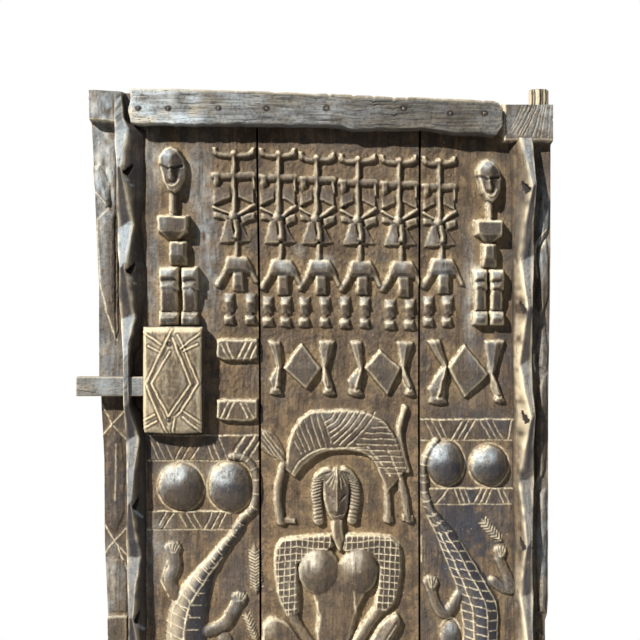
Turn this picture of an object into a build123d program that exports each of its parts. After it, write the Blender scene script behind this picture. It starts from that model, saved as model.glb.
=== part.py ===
from build123d import *
import os

# A carved granary door: three upright planks with everything on them cut from the solid,
# tied by two nailed battens, with a wooden pin-tumbler lock on the free side.
# The leaf turns on two stub pivots cut at the corners of the right-hand plank.
# The origin is on the pivot axis at the leaf's bottom edge: X runs along the leaf towards the pivot side,
# the carved front faces -Y, and Z is up. Millimetres.

os.makedirs("parts", exist_ok=True)

# ---- The leaf: driving sizes ----
leaf_height = 1680
head_slope = 30  # how much lower the top edge is at the pivot side
left_plank_width = 331
middle_plank_width = 322
right_plank_width = 259
plank_gap = 4
plank_thickness = 38
free_edge_lean = 43  # how far the free edge runs in towards the foot
left_seam_lean = 7  # how far the left seam leans towards the pivot at the foot
right_seam_lean = -2
pivot_radius = 20
pivot_length = 38

# ---- Ridges, strips and blocks along the outer edges ----
ridge_peak_rise = 44
ridge_low_rise = 24
ridge_peak_width = 10
ridge_low_width = 30
ridge_hole_radius = 6
block_rise = 26
block_height = 70
left_block_width = 66
right_block_width = 98
strip_rise = 7

# ---- Battens and their nails ----
batten_height = 68
batten_thickness = 38
batten_start = 84  # from the free edge to the batten's end
batten_length = 726
nail_size = 5  # square shank
nail_head_radius = 5.5
nail_head_rise = 2

# ---- Lock ----
lock_width = 118
lock_height = 214
lock_depth = 50
lock_drop = 468  # from the leaf's top edge to the lock's top
bolt_height = 38
bolt_depth = 24
bolt_clearance = 1
bolt_standoff = 12  # the bolt's back face stands this far in front of the plank
bolt_below_lock_top = 119  # from the lock's top to the bolt's middle
bolt_reach = 38  # how far the bolt sticks out past the leaf's widest edge line
bolt_end_inset = 8  # the bolt's inner end lies this far inside the lock's far face
bolt_home = 10  # how far the bolt still has to go for the pins to drop
pin_size = 8
pin_head_width = 14
pin_head_height = 10
pin_pitch = 28
pin_count = 3
pin_clearance = 0.4
pin_seat = 0.3  # how far the pins' tips lie above the bolt
pin_drop = 10
pin_lift = 12
pin_shoulder = 15  # wood between the bolt's channel and the pins' heads
key_channel_height = 14
key_channel_depth = 14
key_channel_length = 92
lock_nail_inset = 36  # from the lock's top edge to its upper nail
lock_nail_rise = 30  # from the lock's lower edge to its lower nail

# ---- Carving heights above the plank's face ----
band_rise = 3
headdress_rise = 12
figure_rise = 18
ancestor_rise = 32
hourglass_rise = 18
boss_rise = 29
crocodile_rise = 20
antelope_rise = 18
arm_rise = 16
chip_taper = 18  # degrees: the lean of a chip-carved flank

# ---- Derived places ----
front_y = -plank_thickness / 2
back_y = plank_thickness / 2
right_edge = pivot_radius
right_seam = right_edge - right_plank_width
left_seam = right_seam - plank_gap - middle_plank_width
free_edge = left_seam - plank_gap - left_plank_width
left_axis = free_edge + 163
middle_axis = left_seam + middle_plank_width / 2 + 2
right_axis = right_edge - 124
left_ridge_x = free_edge + 73
bolt_drop = lock_drop + bolt_below_lock_top
right_ridge_x = right_edge - 60
leaf_width = right_edge - free_edge
lock_x = left_axis + 6
bolt_z = leaf_height - bolt_drop
front = Plane(origin=(0, front_y, 0), x_dir=(1, 0, 0), z_dir=(0, -1, 0))


def on_front(x, drop):
    """A place on the plank's face: x along the leaf, drop down from its top edge."""
    return Locations((x, leaf_height - drop))


def carve(rise, *outlines, at=(0, 0), taper=chip_taper):
    """Raise flat-topped chips with leaning flanks; outlines are (x, drop) points about the place at."""
    chips = []
    for outline in outlines:
        with BuildSketch(front) as drawing:
            with on_front(*at):
                Polygon(*[(x, -drop) for x, drop in outline], align=None)
        chips.append(extrude(drawing.sketch, amount=rise, taper=taper, mode=Mode.PRIVATE))
    add(chips)


def bar(x, drop, width, height):
    """The four corners of an upright block whose top middle is at (x, drop)."""
    half = width / 2
    return [(x - half, drop), (x + half, drop), (x + half, drop + height), (x - half, drop + height)]


def boss(x, drop, radius, rise):
    """A round boss: a cap of a sphere that meets the plank at the given radius."""
    ball = (radius**2 + rise**2) / (2 * rise)
    profile_plane = Plane(origin=(x, front_y, leaf_height - drop), x_dir=(1, 0, 0), z_dir=(0, 0, 1))
    with BuildSketch(profile_plane) as half_cap:
        with BuildLine():
            Polyline((0, 0), (radius, 0))
            RadiusArc((radius, 0), (0, -rise), ball)
            Line((0, -rise), (0, 0))
        make_face()
    revolve(half_cap.sketch, axis=Axis((x, front_y, leaf_height - drop), (0, 1, 0)))


# ---- Figures and motifs, each drawn about its own axis ----


def masked_figure(x, drop):
    """A dancer under a mask with a two-barred cross; drop is at the lower bar's top."""
    cross = bar(0, -44, 10, 124)
    top_bar = [(-43, -49), (-34, -49), (-28, -40), (28, -40), (34, -49), (43, -49), (40, -31), (-40, -31)]
    low_bar = [(-43, 0), (43, 0), (43, 38), (34, 38), (32, 16), (-26, 16), (-28, 38), (-43, 38)]
    left_forearm = bar(-38, 30, 9, 54)
    right_forearm = bar(39, 30, 9, 54)
    left_arm = [(-43, 82), (-38, 72), (-4, 84), (-8, 98), (-42, 98)]
    right_arm = [(43, 82), (39, 70), (6, 84), (8, 98), (43, 98)]
    carve(headdress_rise, cross, top_bar, low_bar, at=(x, drop), taper=10)
    carve(headdress_rise, left_forearm, right_forearm, left_arm, right_arm, at=(x, drop), taper=10)
    head = [(-6, 76), (5, 76), (9, 88), (3, 103), (-5, 103), (-10, 90)]
    carve(figure_rise + 3, head, at=(x, drop), taper=8)
    cape = [(-6, 96), (8, 96), (36, 138), (34, 144), (2, 146), (-30, 144), (-33, 138)]
    neck = bar(1, 140, 10, 30)
    shoulders = [(-14, 168), (22, 168), (28, 202), (-20, 202)]
    left_hand = [(-20, 192), (-14, 196), (-28, 228), (-36, 226)]
    right_hand = [(30, 192), (24, 196), (38, 228), (47, 226)]
    belly = bar(5, 200, 26, 40)
    left_leg = bar(-10, 240, 20, 64)
    right_leg = bar(26, 240, 20, 64)
    carve(figure_rise, cape, neck, shoulders, belly, at=(x, drop), taper=10)
    carve(figure_rise - 3, left_hand, right_hand, left_leg, right_leg, at=(x, drop), taper=8)


def ancestor(x, drop, size, leg_shift):
    """A seated ancestor of stacked blocks; drop is at the top of the head."""
    def scaled(points, shift=0):
        return [(px * size + shift, pd * size) for px, pd in points]

    head = [(-8, 0), (8, 0), (20, 22), (22, 44), (13, 80), (0, 95), (-13, 80), (-22, 44), (-20, 22)]
    brow = [(-20, 40), (0, 48), (20, 40), (20, 52), (4, 58), (0, 78), (-4, 58), (-20, 52)]
    neck = bar(4, 92, 15, 46)
    torso = [(-31, 136), (40, 137), (34, 174), (24, 190), (-20, 190), (-28, 172)]
    waist = bar(10, 186, 34, 54)
    left_leg = [(-28, 238), (12, 238), (14, 270), (10, 334), (16, 356), (-24, 356), (-20, 334), (-24, 270)]
    right_leg = [(19, 238), (54, 238), (54, 270), (50, 334), (54, 356), (20, 356), (22, 334), (18, 270)]
    carve(ancestor_rise, scaled(head), at=(x, drop), taper=14)
    carve(ancestor_rise + 4, scaled(brow), at=(x, drop), taper=4)
    carve(ancestor_rise - 6, scaled(neck), scaled(waist, leg_shift), at=(x, drop), taper=6)
    carve(ancestor_rise, scaled(torso), at=(x, drop))
    carve(ancestor_rise - 2, scaled(left_leg, leg_shift), scaled(right_leg, leg_shift), at=(x, drop), taper=12)


def hourglass(x, drop, height, width=30):
    """A drum of two wedges that meet at a narrow waist; drop is at its middle."""
    half = height / 2
    wedge = [(-width / 2, -half), (width / 2, -half), (5, 0), (width / 2, half), (-width / 2, half), (-5, 0)]
    carve(hourglass_rise, wedge, at=(x, drop), taper=10)


def diamond(x, drop, width, height):
    """A lozenge between two drums, with leaning faces."""
    lozenge = [(-width / 2, 0), (-2, -height / 2), (2, -height / 2), (width / 2, 0), (4, height / 2), (-4, height / 2)]
    carve(hourglass_rise, lozenge, at=(x, drop), taper=40)


def ridge(x, marks):
    """A chain of flat-faced ridges: wide and low at one mark, a narrow tall fin at the next."""
    left_side = [(x - width / 2, leaf_height - drop) for drop, width, rise in marks]
    right_side = [(x + width / 2, leaf_height - drop) for drop, width, rise in marks]
    crest = [(front_y - rise, leaf_height - drop) for drop, width, rise in marks]
    foot = [(front_y, leaf_height - marks[-1][0]), (front_y, leaf_height - marks[0][0])]
    with BuildPart() as chain:
        with BuildSketch(front) as face_view:
            Polygon(*left_side, *reversed(right_side), align=None)
        extrude(face_view.sketch, amount=ridge_peak_rise)
        with BuildSketch(Plane.YZ.offset(x - ridge_low_width)) as side_view:
            Polygon(*crest, *foot, align=None)
        extrude(side_view.sketch, amount=2 * ridge_low_width, mode=Mode.INTERSECT)
    return chain.part


def ridge_holes(x, drops):
    """Eyes drilled sideways through the ridge's peaks, just over the plank's face."""
    with BuildSketch(Plane.YZ.offset(x - ridge_low_width)) as eyes:
        for drop in drops:
            with Locations((front_y - ridge_peak_rise / 2 - ridge_hole_radius, leaf_height - drop)):
                SlotCenterToCenter(ridge_hole_radius, 2 * ridge_hole_radius, rotation=90)
    extrude(eyes.sketch, amount=2 * ridge_low_width, mode=Mode.SUBTRACT)


def ridge_marks(start, peaks, lows, end):
    """The drops of peaks and lows in order, each with its crest width and rise."""
    marks = [(start, ridge_low_width, ridge_low_rise)]
    marks += [(drop, ridge_peak_width, ridge_peak_rise) for drop in peaks]
    marks += [(drop, ridge_low_width, ridge_low_rise) for drop in lows]
    marks.append((end, ridge_low_width, ridge_low_rise))
    return sorted(marks)


def plank_blank(corners):
    """The sawn and hewn blank of one plank, from its front outline."""
    with BuildSketch(front) as blank:
        Polygon(*corners, align=None)
    extrude(blank.sketch, amount=-plank_thickness)


def head_z(x):
    """Height of the sloping top edge at a place along the leaf."""
    return leaf_height - head_slope * (x - free_edge) / leaf_width


def nail_holes(places, z):
    """Square holes through batten and plank, for nails of the same size."""
    with BuildSketch(Plane.XZ.offset(-back_y)) as holes:
        with Locations(*[(x, z) for x in places]):
            Rectangle(nail_size, nail_size)
    extrude(holes.sketch, amount=plank_thickness + batten_thickness, mode=Mode.SUBTRACT)


# ---- Nail places, from the leaf's free edge ----
left_nails = [free_edge + offset for offset in (102, 161, 260)]
middle_nails = [free_edge + offset for offset in (354, 472, 624)]
right_nails = [free_edge + offset for offset in (716, 783)]
top_nail_z = leaf_height - 40
bottom_nail_z = 44
right_nail_step = 10  # the top batten's nails in the right plank sit this much lower

lock_top_z = leaf_height - lock_drop
lock_nail_places = [(lock_x - 4, lock_top_z - lock_nail_inset), (lock_x - 6, lock_top_z - lock_height + lock_nail_rise)]

# ---- Marks of the two ridges, as drops from the top edge ----
left_peaks = [156, 352, bolt_drop, 816, 1040, 1262, 1484]
left_lows = [268, 450, 690, 924, 1152, 1374]
right_peaks = [192, 430, 646, 896, 1122, 1346, 1532]
right_lows = [331, 540, 772, 1000, 1234, 1440]
ridge_start = block_height
ridge_end = leaf_height - block_height - 2
left_ridge = ridge(left_ridge_x, ridge_marks(ridge_start, left_peaks, left_lows, ridge_end))
right_ridge = ridge(right_ridge_x, ridge_marks(ridge_start + head_slope, right_peaks, right_lows, ridge_end))

# ---- Left plank ----
with BuildPart() as left_plank:
    # the free edge runs in by stages: (drop, share of the whole lean)
    stages = ((1056, 0.84), (736, 0.65), (566, 0.4), (386, 0.4))
    plank_blank([
        (free_edge, leaf_height),
        (left_seam - plank_gap, head_z(left_seam)),
        (left_seam - plank_gap + left_seam_lean, 0),
        (free_edge + free_edge_lean, 0),
        *[(free_edge + share * free_edge_lean, leaf_height - drop) for drop, share in stages],
    ])
    add(left_ridge)
    ridge_holes(left_ridge_x, [drop for drop in left_peaks if drop != bolt_drop])
    carve(
        block_rise,
        bar(free_edge + left_block_width / 2, 0, left_block_width, block_height),
        bar(free_edge + free_edge_lean + left_block_width / 2, leaf_height - block_height, left_block_width, block_height),
        taper=8,
    )
    # outer strip: lozenges, crossings and a long blade
    spindle = [(0, 0), (14, 40), (0, 56), (-14, 20)]
    carve(strip_rise, spindle, at=(free_edge + 28, 150), taper=10)
    carve(strip_rise, [(-12, 0), (18, 0), (24, 120), (22, 236), (14, 236), (-8, 60)], at=(free_edge + 32, 262), taper=10)
    carve(strip_rise, [(-6, 0), (14, 0), (20, 92), (8, 184), (-10, 184), (-18, 92)], at=(free_edge + 50, 692), taper=10)
    carve(strip_rise, bar(free_edge + 56, 928, 34, 112), taper=10)
    carve(strip_rise, bar(free_edge + 56, 1048, 40, 180), bar(free_edge + 58, 1260, 34, 300), taper=10)
    # first dancer and the ancestor
    masked_figure(free_edge + 288, 160)
    ancestor(left_axis, 110, 1, 14)
    # the two blocks that leave the bolt's way free between them
    block_left = left_axis + 89
    block_room = left_seam - plank_gap - block_left - 1
    carve(hourglass_rise - 4, bar(block_left + block_room / 2, 494, block_room, 44), taper=10)
    carve(hourglass_rise - 4, bar(block_left + block_room / 2, 614, block_room, 45), taper=10)
    # the two grooved bands with bosses between
    panel_width = left_seam - plank_gap - left_axis + 46
    panel_middle = left_axis - 46 + panel_width / 2
    carve(band_rise, bar(panel_middle, 682, panel_width, 52), bar(panel_middle, 840, panel_width, 36), taper=0)
    boss(left_axis + 17, 788, 44, boss_rise)
    boss(left_axis + 114, 788, 45, boss_rise)
    # crocodile: tail round the boss, body, legs and head
    tail = [(106, 724), (140, 728), (166, 748), (172, 800), (162, 840), (146, 862), (128, 860), (146, 836),
            (156, 800), (152, 762), (134, 742), (106, 736)]
    body = [(128, 856), (146, 862), (122, 910), (98, 952), (84, 990), (76, 1040), (74, 1100), (76, 1180), (70, 1260),
            (46, 1330), (38, 1400), (30, 1490), (20, 1530), (4, 1530), (-6, 1490), (-8, 1400), (-6, 1330),
            (-14, 1260), (-16, 1180), (-12, 1090), (-6, 1030), (8, 1000), (42, 956), (87, 918)]
    upper_leg = [(-14, 900), (20, 900), (16, 920), (-6, 922), (-14, 972), (2, 996), (-8, 1014), (-26, 980)]
    upper_right_leg = [(76, 1090), (100, 1070), (122, 1020), (150, 1004), (152, 1022), (128, 1030), (108, 1084), (80, 1110)]
    lower_leg = [(-12, 1250), (-40, 1290), (-40, 1350), (-16, 1362), (-22, 1346), (-26, 1300), (-6, 1276)]
    lower_right_leg = [(66, 1256), (100, 1296), (110, 1356), (136, 1366), (128, 1340), (116, 1286), (74, 1238)]
    carve(crocodile_rise, tail, body, at=(left_axis, 0), taper=8)
    carve(crocodile_rise - 6, upper_leg, upper_right_leg, lower_leg, lower_right_leg, at=(left_axis, 0), taper=8)
    nail_holes(left_nails, top_nail_z)
    nail_holes(left_nails, bottom_nail_z)
    # square holes for the lock's nails, and the bolt's mortise through the ridge
    with BuildSketch(Plane.XZ.offset(-back_y)) as lock_nail_holes:
        with Locations(*lock_nail_places):
            Rectangle(nail_size, nail_size)
    extrude(lock_nail_holes.sketch, amount=plank_thickness, mode=Mode.SUBTRACT)
    with BuildSketch(Plane.YZ.offset(left_ridge_x - ridge_low_width)) as mortise:
        with Locations((front_y - bolt_standoff - bolt_depth / 2, bolt_z)):
            Rectangle(bolt_depth + 2 * bolt_clearance, bolt_height + 2 * bolt_clearance)
    extrude(mortise.sketch, amount=2 * ridge_low_width, mode=Mode.SUBTRACT)
left_plank.part.label = "left_plank"

# ---- Middle plank ----
with BuildPart() as middle_plank:
    plank_blank([
        (left_seam, head_z(left_seam)),
        (right_seam - plank_gap, head_z(right_seam)),
        (right_seam - plank_gap + right_seam_lean, 0),
        (left_seam + left_seam_lean, 0),
    ])
    for shift, drop in ((-118, 164), (-42, 169), (40, 173), (114, 177)):
        masked_figure(middle_axis + shift, drop)
    for shift in (-74, 82):
        hourglass(middle_axis + shift - 53, 552, 110)
        diamond(middle_axis + shift, 552, 78, 104)
        hourglass(middle_axis + shift + 46, 552, 110, 32)
    # the antelope that arches over the woman
    back_curve = [(-110, 742), (-106, 708), (-92, 668), (-70, 648), (-48, 638), (-4, 634), (50, 636), (74, 644),
                  (96, 662), (116, 690), (126, 724), (138, 852), (110, 852), (96, 770), (92, 780), (86, 754),
                  (60, 724), (28, 710), (-2, 710), (-46, 720), (-76, 734), (-92, 760), (-104, 860), (-122, 862)]
    muzzle = [(-104, 742), (-120, 714), (-155, 672), (-155, 712)]
    tail = [(134, 634), (140, 634), (124, 702), (116, 682)]
    carve(antelope_rise, back_curve, muzzle, tail, at=(middle_axis, 0), taper=6)
    # the squatting woman: hair, head, arms, body, thighs and shins
    hair_cap = [(-36, 800), (-30, 766), (-8, 746), (6, 746), (24, 764), (30, 800)]
    braids = [bar(-42, 778, 22, 82), bar(32, 778, 22, 82)]
    head = [(-20, 770), (0, 762), (20, 770), (22, 810), (12, 846), (0, 858), (-14, 846), (-32, 810)]
    neck = bar(-3, 850, 24, 56)
    left_arm = [(-114, 886), (-60, 884), (-20, 900), (-26, 960), (-52, 968), (-84, 936), (-90, 960), (-84, 1044),
                (-104, 1044), (-120, 1010), (-126, 960)]
    right_arm = [(116, 886), (60, 884), (20, 900), (26, 960), (52, 968), (80, 936), (88, 950), (74, 1034),
                 (94, 1034), (116, 1010), (126, 960)]
    chest = [(-40, 940), (30, 940), (24, 1002), (-36, 1002)]
    waist = [(-36, 1000), (24, 1000), (36, 1100), (-46, 1100)]
    lap = [(-46, 1096), (36, 1096), (60, 1190), (0, 1220), (-60, 1190)]
    left_thigh = [(-146, 1060), (-120, 1044), (-84, 1048), (-60, 1090), (-30, 1180), (-60, 1210), (-110, 1150)]
    right_thigh = [(138, 1052), (116, 1044), (80, 1048), (56, 1090), (30, 1180), (60, 1210), (108, 1150)]
    left_shin = [(-146, 1062), (-114, 1080), (-96, 1200), (-84, 1290), (-66, 1330), (-124, 1330), (-136, 1200)]
    right_shin = [(138, 1062), (110, 1080), (92, 1200), (80, 1290), (62, 1330), (120, 1330), (130, 1200)]
    carve(arm_rise, neck, left_arm, right_arm, at=(middle_axis, 0), taper=10)
    carve(arm_rise + 6, hair_cap, *braids, chest, waist, lap, left_thigh, right_thigh, at=(middle_axis, 0), taper=10)
    carve(arm_rise + 12, head, left_shin, right_shin, at=(middle_axis, 0), taper=10)
    boss(middle_axis - 39, 955, 44, arm_rise + 24)
    boss(middle_axis + 41, 952, 44, arm_rise + 24)
    # a lizard at the foot of the plank
    lizard = [(0, 1370), (22, 1392), (16, 1420), (34, 1460), (26, 1520), (6, 1584), (-6, 1584), (-26, 1520),
              (-34, 1460), (-16, 1420), (-22, 1392)]
    carve(crocodile_rise - 4, lizard, at=(middle_axis, 0), taper=8)
    nail_holes(middle_nails, top_nail_z)
    nail_holes(middle_nails, bottom_nail_z)
middle_plank.part.label = "middle_plank"

# ---- Right plank, with both pivots ----
with BuildPart() as right_plank:
    plank_blank([
        (right_seam, head_z(right_seam)),
        (right_edge - right_block_width, leaf_height - head_slope),
        (right_edge, leaf_height - head_slope),
        (right_edge, 0),
        (right_seam + right_seam_lean, 0),
    ])
    add(right_ridge)
    ridge_holes(right_ridge_x, right_peaks)
    block_middle = right_edge - right_block_width / 2
    carve(
        block_rise,
        bar(block_middle, head_slope + 1, right_block_width - 2, block_height + 8),
        bar(block_middle, leaf_height - block_height, right_block_width - 2, block_height),
        taper=6,
    )
    # outer strip: a chain of long lozenges
    for drop, height in ((180, 120), (320, 150), (520, 150), (700, 190), (920, 190), (1140, 190), (1360, 190)):
        lozenge = [(0, 0), (14, height / 2), (2, height), (-12, height / 2)]
        carve(strip_rise, lozenge, at=(right_edge - 18, drop), taper=10)
    masked_figure(right_seam + 62, 182)
    ancestor(right_axis, 136, 0.925, -8)
    # the third pair of drums with its lozenge
    hourglass(right_axis - 108, 559, 128)
    diamond(right_axis - 42, 558, 86, 112)
    hourglass(right_axis + 14, 559, 128, 36)
    panel_right = right_axis + 46
    panel_width = panel_right - right_seam - 1
    panel_middle = panel_right - panel_width / 2
    carve(band_rise, bar(panel_middle, 652, panel_width, 44), bar(panel_middle, 788, panel_width, 38), taper=0)
    boss(right_axis - 87, 742, 40, boss_rise)
    boss(right_axis + 1, 745, 39, boss_rise)
    tail = [(-110, 690), (-122, 700), (-132, 740), (-128, 790), (-116, 836), (-104, 880), (-92, 878), (-104, 830),
            (-116, 786), (-120, 742), (-108, 706)]
    body = [(-108, 876), (-68, 876), (-38, 924), (0, 976), (22, 1016), (26, 1060), (24, 1160), (16, 1260),
            (-4, 1330), (-10, 1400), (-18, 1480), (-28, 1530), (-44, 1530), (-54, 1480), (-52, 1400), (-56, 1330),
            (-64, 1260), (-60, 1160), (-54, 1060), (-60, 996), (-76, 956), (-92, 916)]
    left_leg = [(-130, 966), (-102, 966), (-104, 984), (-86, 1018), (-62, 990), (-58, 1014), (-86, 1048), (-112, 990)]
    right_leg = [(8, 978), (34, 984), (20, 940), (8, 906), (38, 904), (36, 930), (48, 990), (14, 1010)]
    low_left_leg = [(-62, 1250), (-88, 1290), (-92, 1350), (-112, 1360), (-108, 1290), (-74, 1230)]
    low_right_leg = [(16, 1250), (36, 1290), (38, 1350), (56, 1360), (54, 1290), (26, 1236)]
    carve(crocodile_rise, tail, body, at=(right_axis, 0), taper=8)
    carve(crocodile_rise - 6, left_leg, right_leg, low_left_leg, low_right_leg, at=(right_axis, 0), taper=8)
    nail_holes(right_nails, top_nail_z - right_nail_step)
    nail_holes(right_nails, bottom_nail_z)
    # pivot stubs, round from end to end
    with BuildSketch(Plane.XY.offset(-pivot_length)) as bottom_pivot:
        Circle(pivot_radius)
    extrude(bottom_pivot.sketch, amount=pivot_length)
    with BuildSketch(Plane.XY.offset(leaf_height - head_slope)) as top_pivot:
        Circle(pivot_radius)
    extrude(top_pivot.sketch, amount=pivot_length)
right_plank.part.label = "right_plank"


# ---- Battens ----


def batten_nail_holes(z):
    """The holes of one batten, on the same lines as those of the planks behind it."""
    nail_holes(left_nails + middle_nails, z)
    nail_holes(right_nails, z - (right_nail_step if z == top_nail_z else 0))


with BuildPart() as top_batten:
    with BuildSketch(front) as top_outline:
        with on_front(free_edge + batten_start, 0):
            top_line = [(0.0, 0), (0.22, -2), (0.34, -6), (0.52, -10), (0.63, -14), (0.98, -24), (1.0, -34)]
            low_line = [(1.0, -24), (0.88, -22), (0.79, -8), (0.69, -14), (0.54, -4), (0.22, -2), (0.0, -1)]
            Polygon(
                *[(share * batten_length, step) for share, step in top_line],
                *[(share * batten_length, step - batten_height) for share, step in low_line],
                (6, -0.65 * batten_height), (-4, -0.35 * batten_height), align=None,
            )
    extrude(top_outline.sketch, amount=batten_thickness)
    batten_nail_holes(top_nail_z)
top_batten.part.label = "top_batten"

bottom_batten_length = batten_length - free_edge_lean
with BuildPart() as bottom_batten:
    with BuildSketch(front) as bottom_outline:
        with Locations((free_edge + batten_start + free_edge_lean, 10)):
            Polygon(
                (0, 0), (bottom_batten_length, 0), (bottom_batten_length + 4, 0.45 * batten_height),
                (bottom_batten_length, batten_height), (0.6 * bottom_batten_length, batten_height + 3),
                (0.23 * bottom_batten_length, batten_height - 2), (-4, batten_height), align=None,
            )
    extrude(bottom_outline.sketch, amount=batten_thickness)
    batten_nail_holes(bottom_nail_z)
bottom_batten.part.label = "bottom_batten"


def nail_set(places, depth):
    """Forged nails: square shanks from the heads on the front to the plank's back."""
    with BuildSketch(front.offset(depth)) as shanks:
        with Locations(*places):
            Rectangle(nail_size, nail_size)
    extrude(shanks.sketch, amount=-(depth + plank_thickness))
    with BuildSketch(front.offset(depth)) as heads:
        with Locations(*places):
            RegularPolygon(nail_head_radius, 8)
    extrude(heads.sketch, amount=nail_head_rise, taper=25)


top_places = [(x, top_nail_z) for x in left_nails + middle_nails]
top_places += [(x, top_nail_z - right_nail_step) for x in right_nails]
bottom_places = [(x, bottom_nail_z) for x in left_nails + middle_nails + right_nails]
with BuildPart() as top_batten_nails:
    nail_set(top_places, batten_thickness)
top_batten_nails.part.label = "top_batten_nails"

with BuildPart() as bottom_batten_nails:
    nail_set(bottom_places, batten_thickness)
bottom_batten_nails.part.label = "bottom_batten_nails"

# ---- Lock body: a carved block with the bolt's channel and three pin slots ----
channel_top = bolt_z + bolt_height / 2 + bolt_clearance
shoulder_z = channel_top + pin_shoulder
chamber_height = pin_head_height + pin_drop + pin_lift + 2 * bolt_clearance
bolt_middle_y = front_y - bolt_standoff - bolt_depth / 2
pin_places = [lock_x + (index - (pin_count - 1) / 2) * pin_pitch for index in range(pin_count)]
slot_depth = front_y - (bolt_middle_y - pin_size / 2 - pin_clearance)
with BuildPart() as lock_body:
    with BuildSketch(front) as lock_foot:
        with Locations((lock_x, lock_top_z - lock_height / 2)):
            Rectangle(lock_width, lock_height)
    extrude(lock_foot.sketch, amount=lock_depth - 4)
    rounded = lock_body.faces().sort_by(Axis.Y)[0].edges()
    chamfer(rounded, length=8, length2=5)
    with BuildSketch(front.offset(lock_depth - 4)) as lozenge_relief:
        with Locations((lock_x, lock_top_z - lock_height / 2)):
            Polygon((0, 96), (50, 0), (0, -96), (-50, 0), align=None)
            Polygon((0, 84), (43, 0), (0, -84), (-43, 0), align=None, mode=Mode.SUBTRACT)
            Polygon((0, 56), (36, 0), (0, -56), (-36, 0), align=None)
            for side_x in (-1, 1):
                for side_z in (-1, 1):
                    Polygon((side_x * 47, side_z * 96), (side_x * 47, side_z * 82), (side_x * 20, side_z * 72), align=None)
    extrude(lozenge_relief.sketch, amount=4, taper=20)
    with BuildSketch(Plane.YZ.offset(lock_x - lock_width / 2 - 1)) as channel:
        with Locations((bolt_middle_y, bolt_z)):
            Rectangle(bolt_depth + 2 * bolt_clearance, bolt_height + 2 * bolt_clearance)
    extrude(channel.sketch, amount=lock_width + 2, mode=Mode.SUBTRACT)
    with BuildSketch(front) as slots:
        for pin_x in pin_places:
            with Locations((pin_x, channel_top + pin_shoulder / 2)):
                Rectangle(pin_size + 2 * pin_clearance, pin_shoulder + 2)
            with Locations((pin_x, shoulder_z + chamber_height / 2)):
                Rectangle(pin_head_width + 2 * pin_clearance, chamber_height)
    extrude(slots.sketch, amount=slot_depth, mode=Mode.SUBTRACT)
    with BuildSketch(front) as lock_nail_bores:
        with Locations(*lock_nail_places):
            Rectangle(nail_size, nail_size)
    extrude(lock_nail_bores.sketch, amount=lock_depth, mode=Mode.SUBTRACT)
lock_body.part.label = "lock_body"

with BuildPart() as lock_nails:
    nail_set(lock_nail_places, lock_depth)
lock_nails.part.label = "lock_nails"

# ---- Bolt: pin holes from above into a key channel that opens at its inner end ----
bolt_left = free_edge - bolt_reach + 17
bolt_right = lock_x + lock_width / 2 - bolt_end_inset
with BuildPart() as lock_bolt:
    with BuildSketch(Plane.YZ.offset(bolt_left)) as bolt_section:
        with Locations((bolt_middle_y, bolt_z)):
            Rectangle(bolt_depth, bolt_height)
    extrude(bolt_section.sketch, amount=bolt_right - bolt_left)
    chamfer(lock_bolt.faces().sort_by(Axis.X)[0].edges(), length=2)
    with BuildSketch(Plane.YZ.offset(bolt_right - key_channel_length)) as key_channel:
        with Locations((bolt_middle_y, bolt_z + bolt_height / 2 - pin_drop - key_channel_height / 2)):
            Rectangle(key_channel_depth, key_channel_height)
    extrude(key_channel.sketch, amount=key_channel_length, mode=Mode.SUBTRACT)
    with BuildSketch(Plane.XY.offset(bolt_z + bolt_height / 2)) as pin_holes:
        with Locations(*[(pin_x + bolt_home, bolt_middle_y) for pin_x in pin_places]):
            Rectangle(pin_size + 2 * pin_clearance, pin_size + 2 * pin_clearance)
    extrude(pin_holes.sketch, amount=-pin_drop - 1, mode=Mode.SUBTRACT)
lock_bolt.part.label = "lock_bolt"

# ---- Tumbler pins: a square iron shank under a wide head ----
pin_tip_z = bolt_z + bolt_height / 2 + pin_seat
pin_shank = shoulder_z + pin_drop - channel_top + bolt_clearance
tumblers = []
for pin_name, pin_x in zip(("tumbler_outer", "tumbler_middle", "tumbler_inner"), pin_places):
    with BuildPart() as tumbler:
        with BuildSketch(Plane.XY.offset(pin_tip_z)) as shank:
            with Locations((pin_x, bolt_middle_y)):
                Rectangle(pin_size, pin_size)
        extrude(shank.sketch, amount=pin_shank)
        with BuildSketch(Plane.XY.offset(pin_tip_z + pin_shank)) as pin_head:
            with Locations((pin_x, bolt_middle_y)):
                Rectangle(pin_head_width, pin_size)
        extrude(pin_head.sketch, amount=pin_head_height)
    tumbler.part.label = pin_name
    tumblers.append(tumbler.part)

pieces = [left_plank, middle_plank, right_plank, top_batten, bottom_batten, top_batten_nails, bottom_batten_nails]
pieces += [lock_body, lock_nails, lock_bolt]
for piece in pieces:
    export_step(piece.part, f"parts/{piece.part.label}.step")
for tumbler_part in tumblers:
    export_step(tumbler_part, f"parts/{tumbler_part.label}.step")
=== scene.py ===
# %% [markdown]
# # A carved granary door in Blender
# The door is three planks of hard wood whose figures were left standing while the ground was cut away.
# This lesson builds its look piece by piece around the imported solids, which give every size and place.
# We start by loading them.

# %% Load the frame
import math

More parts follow.
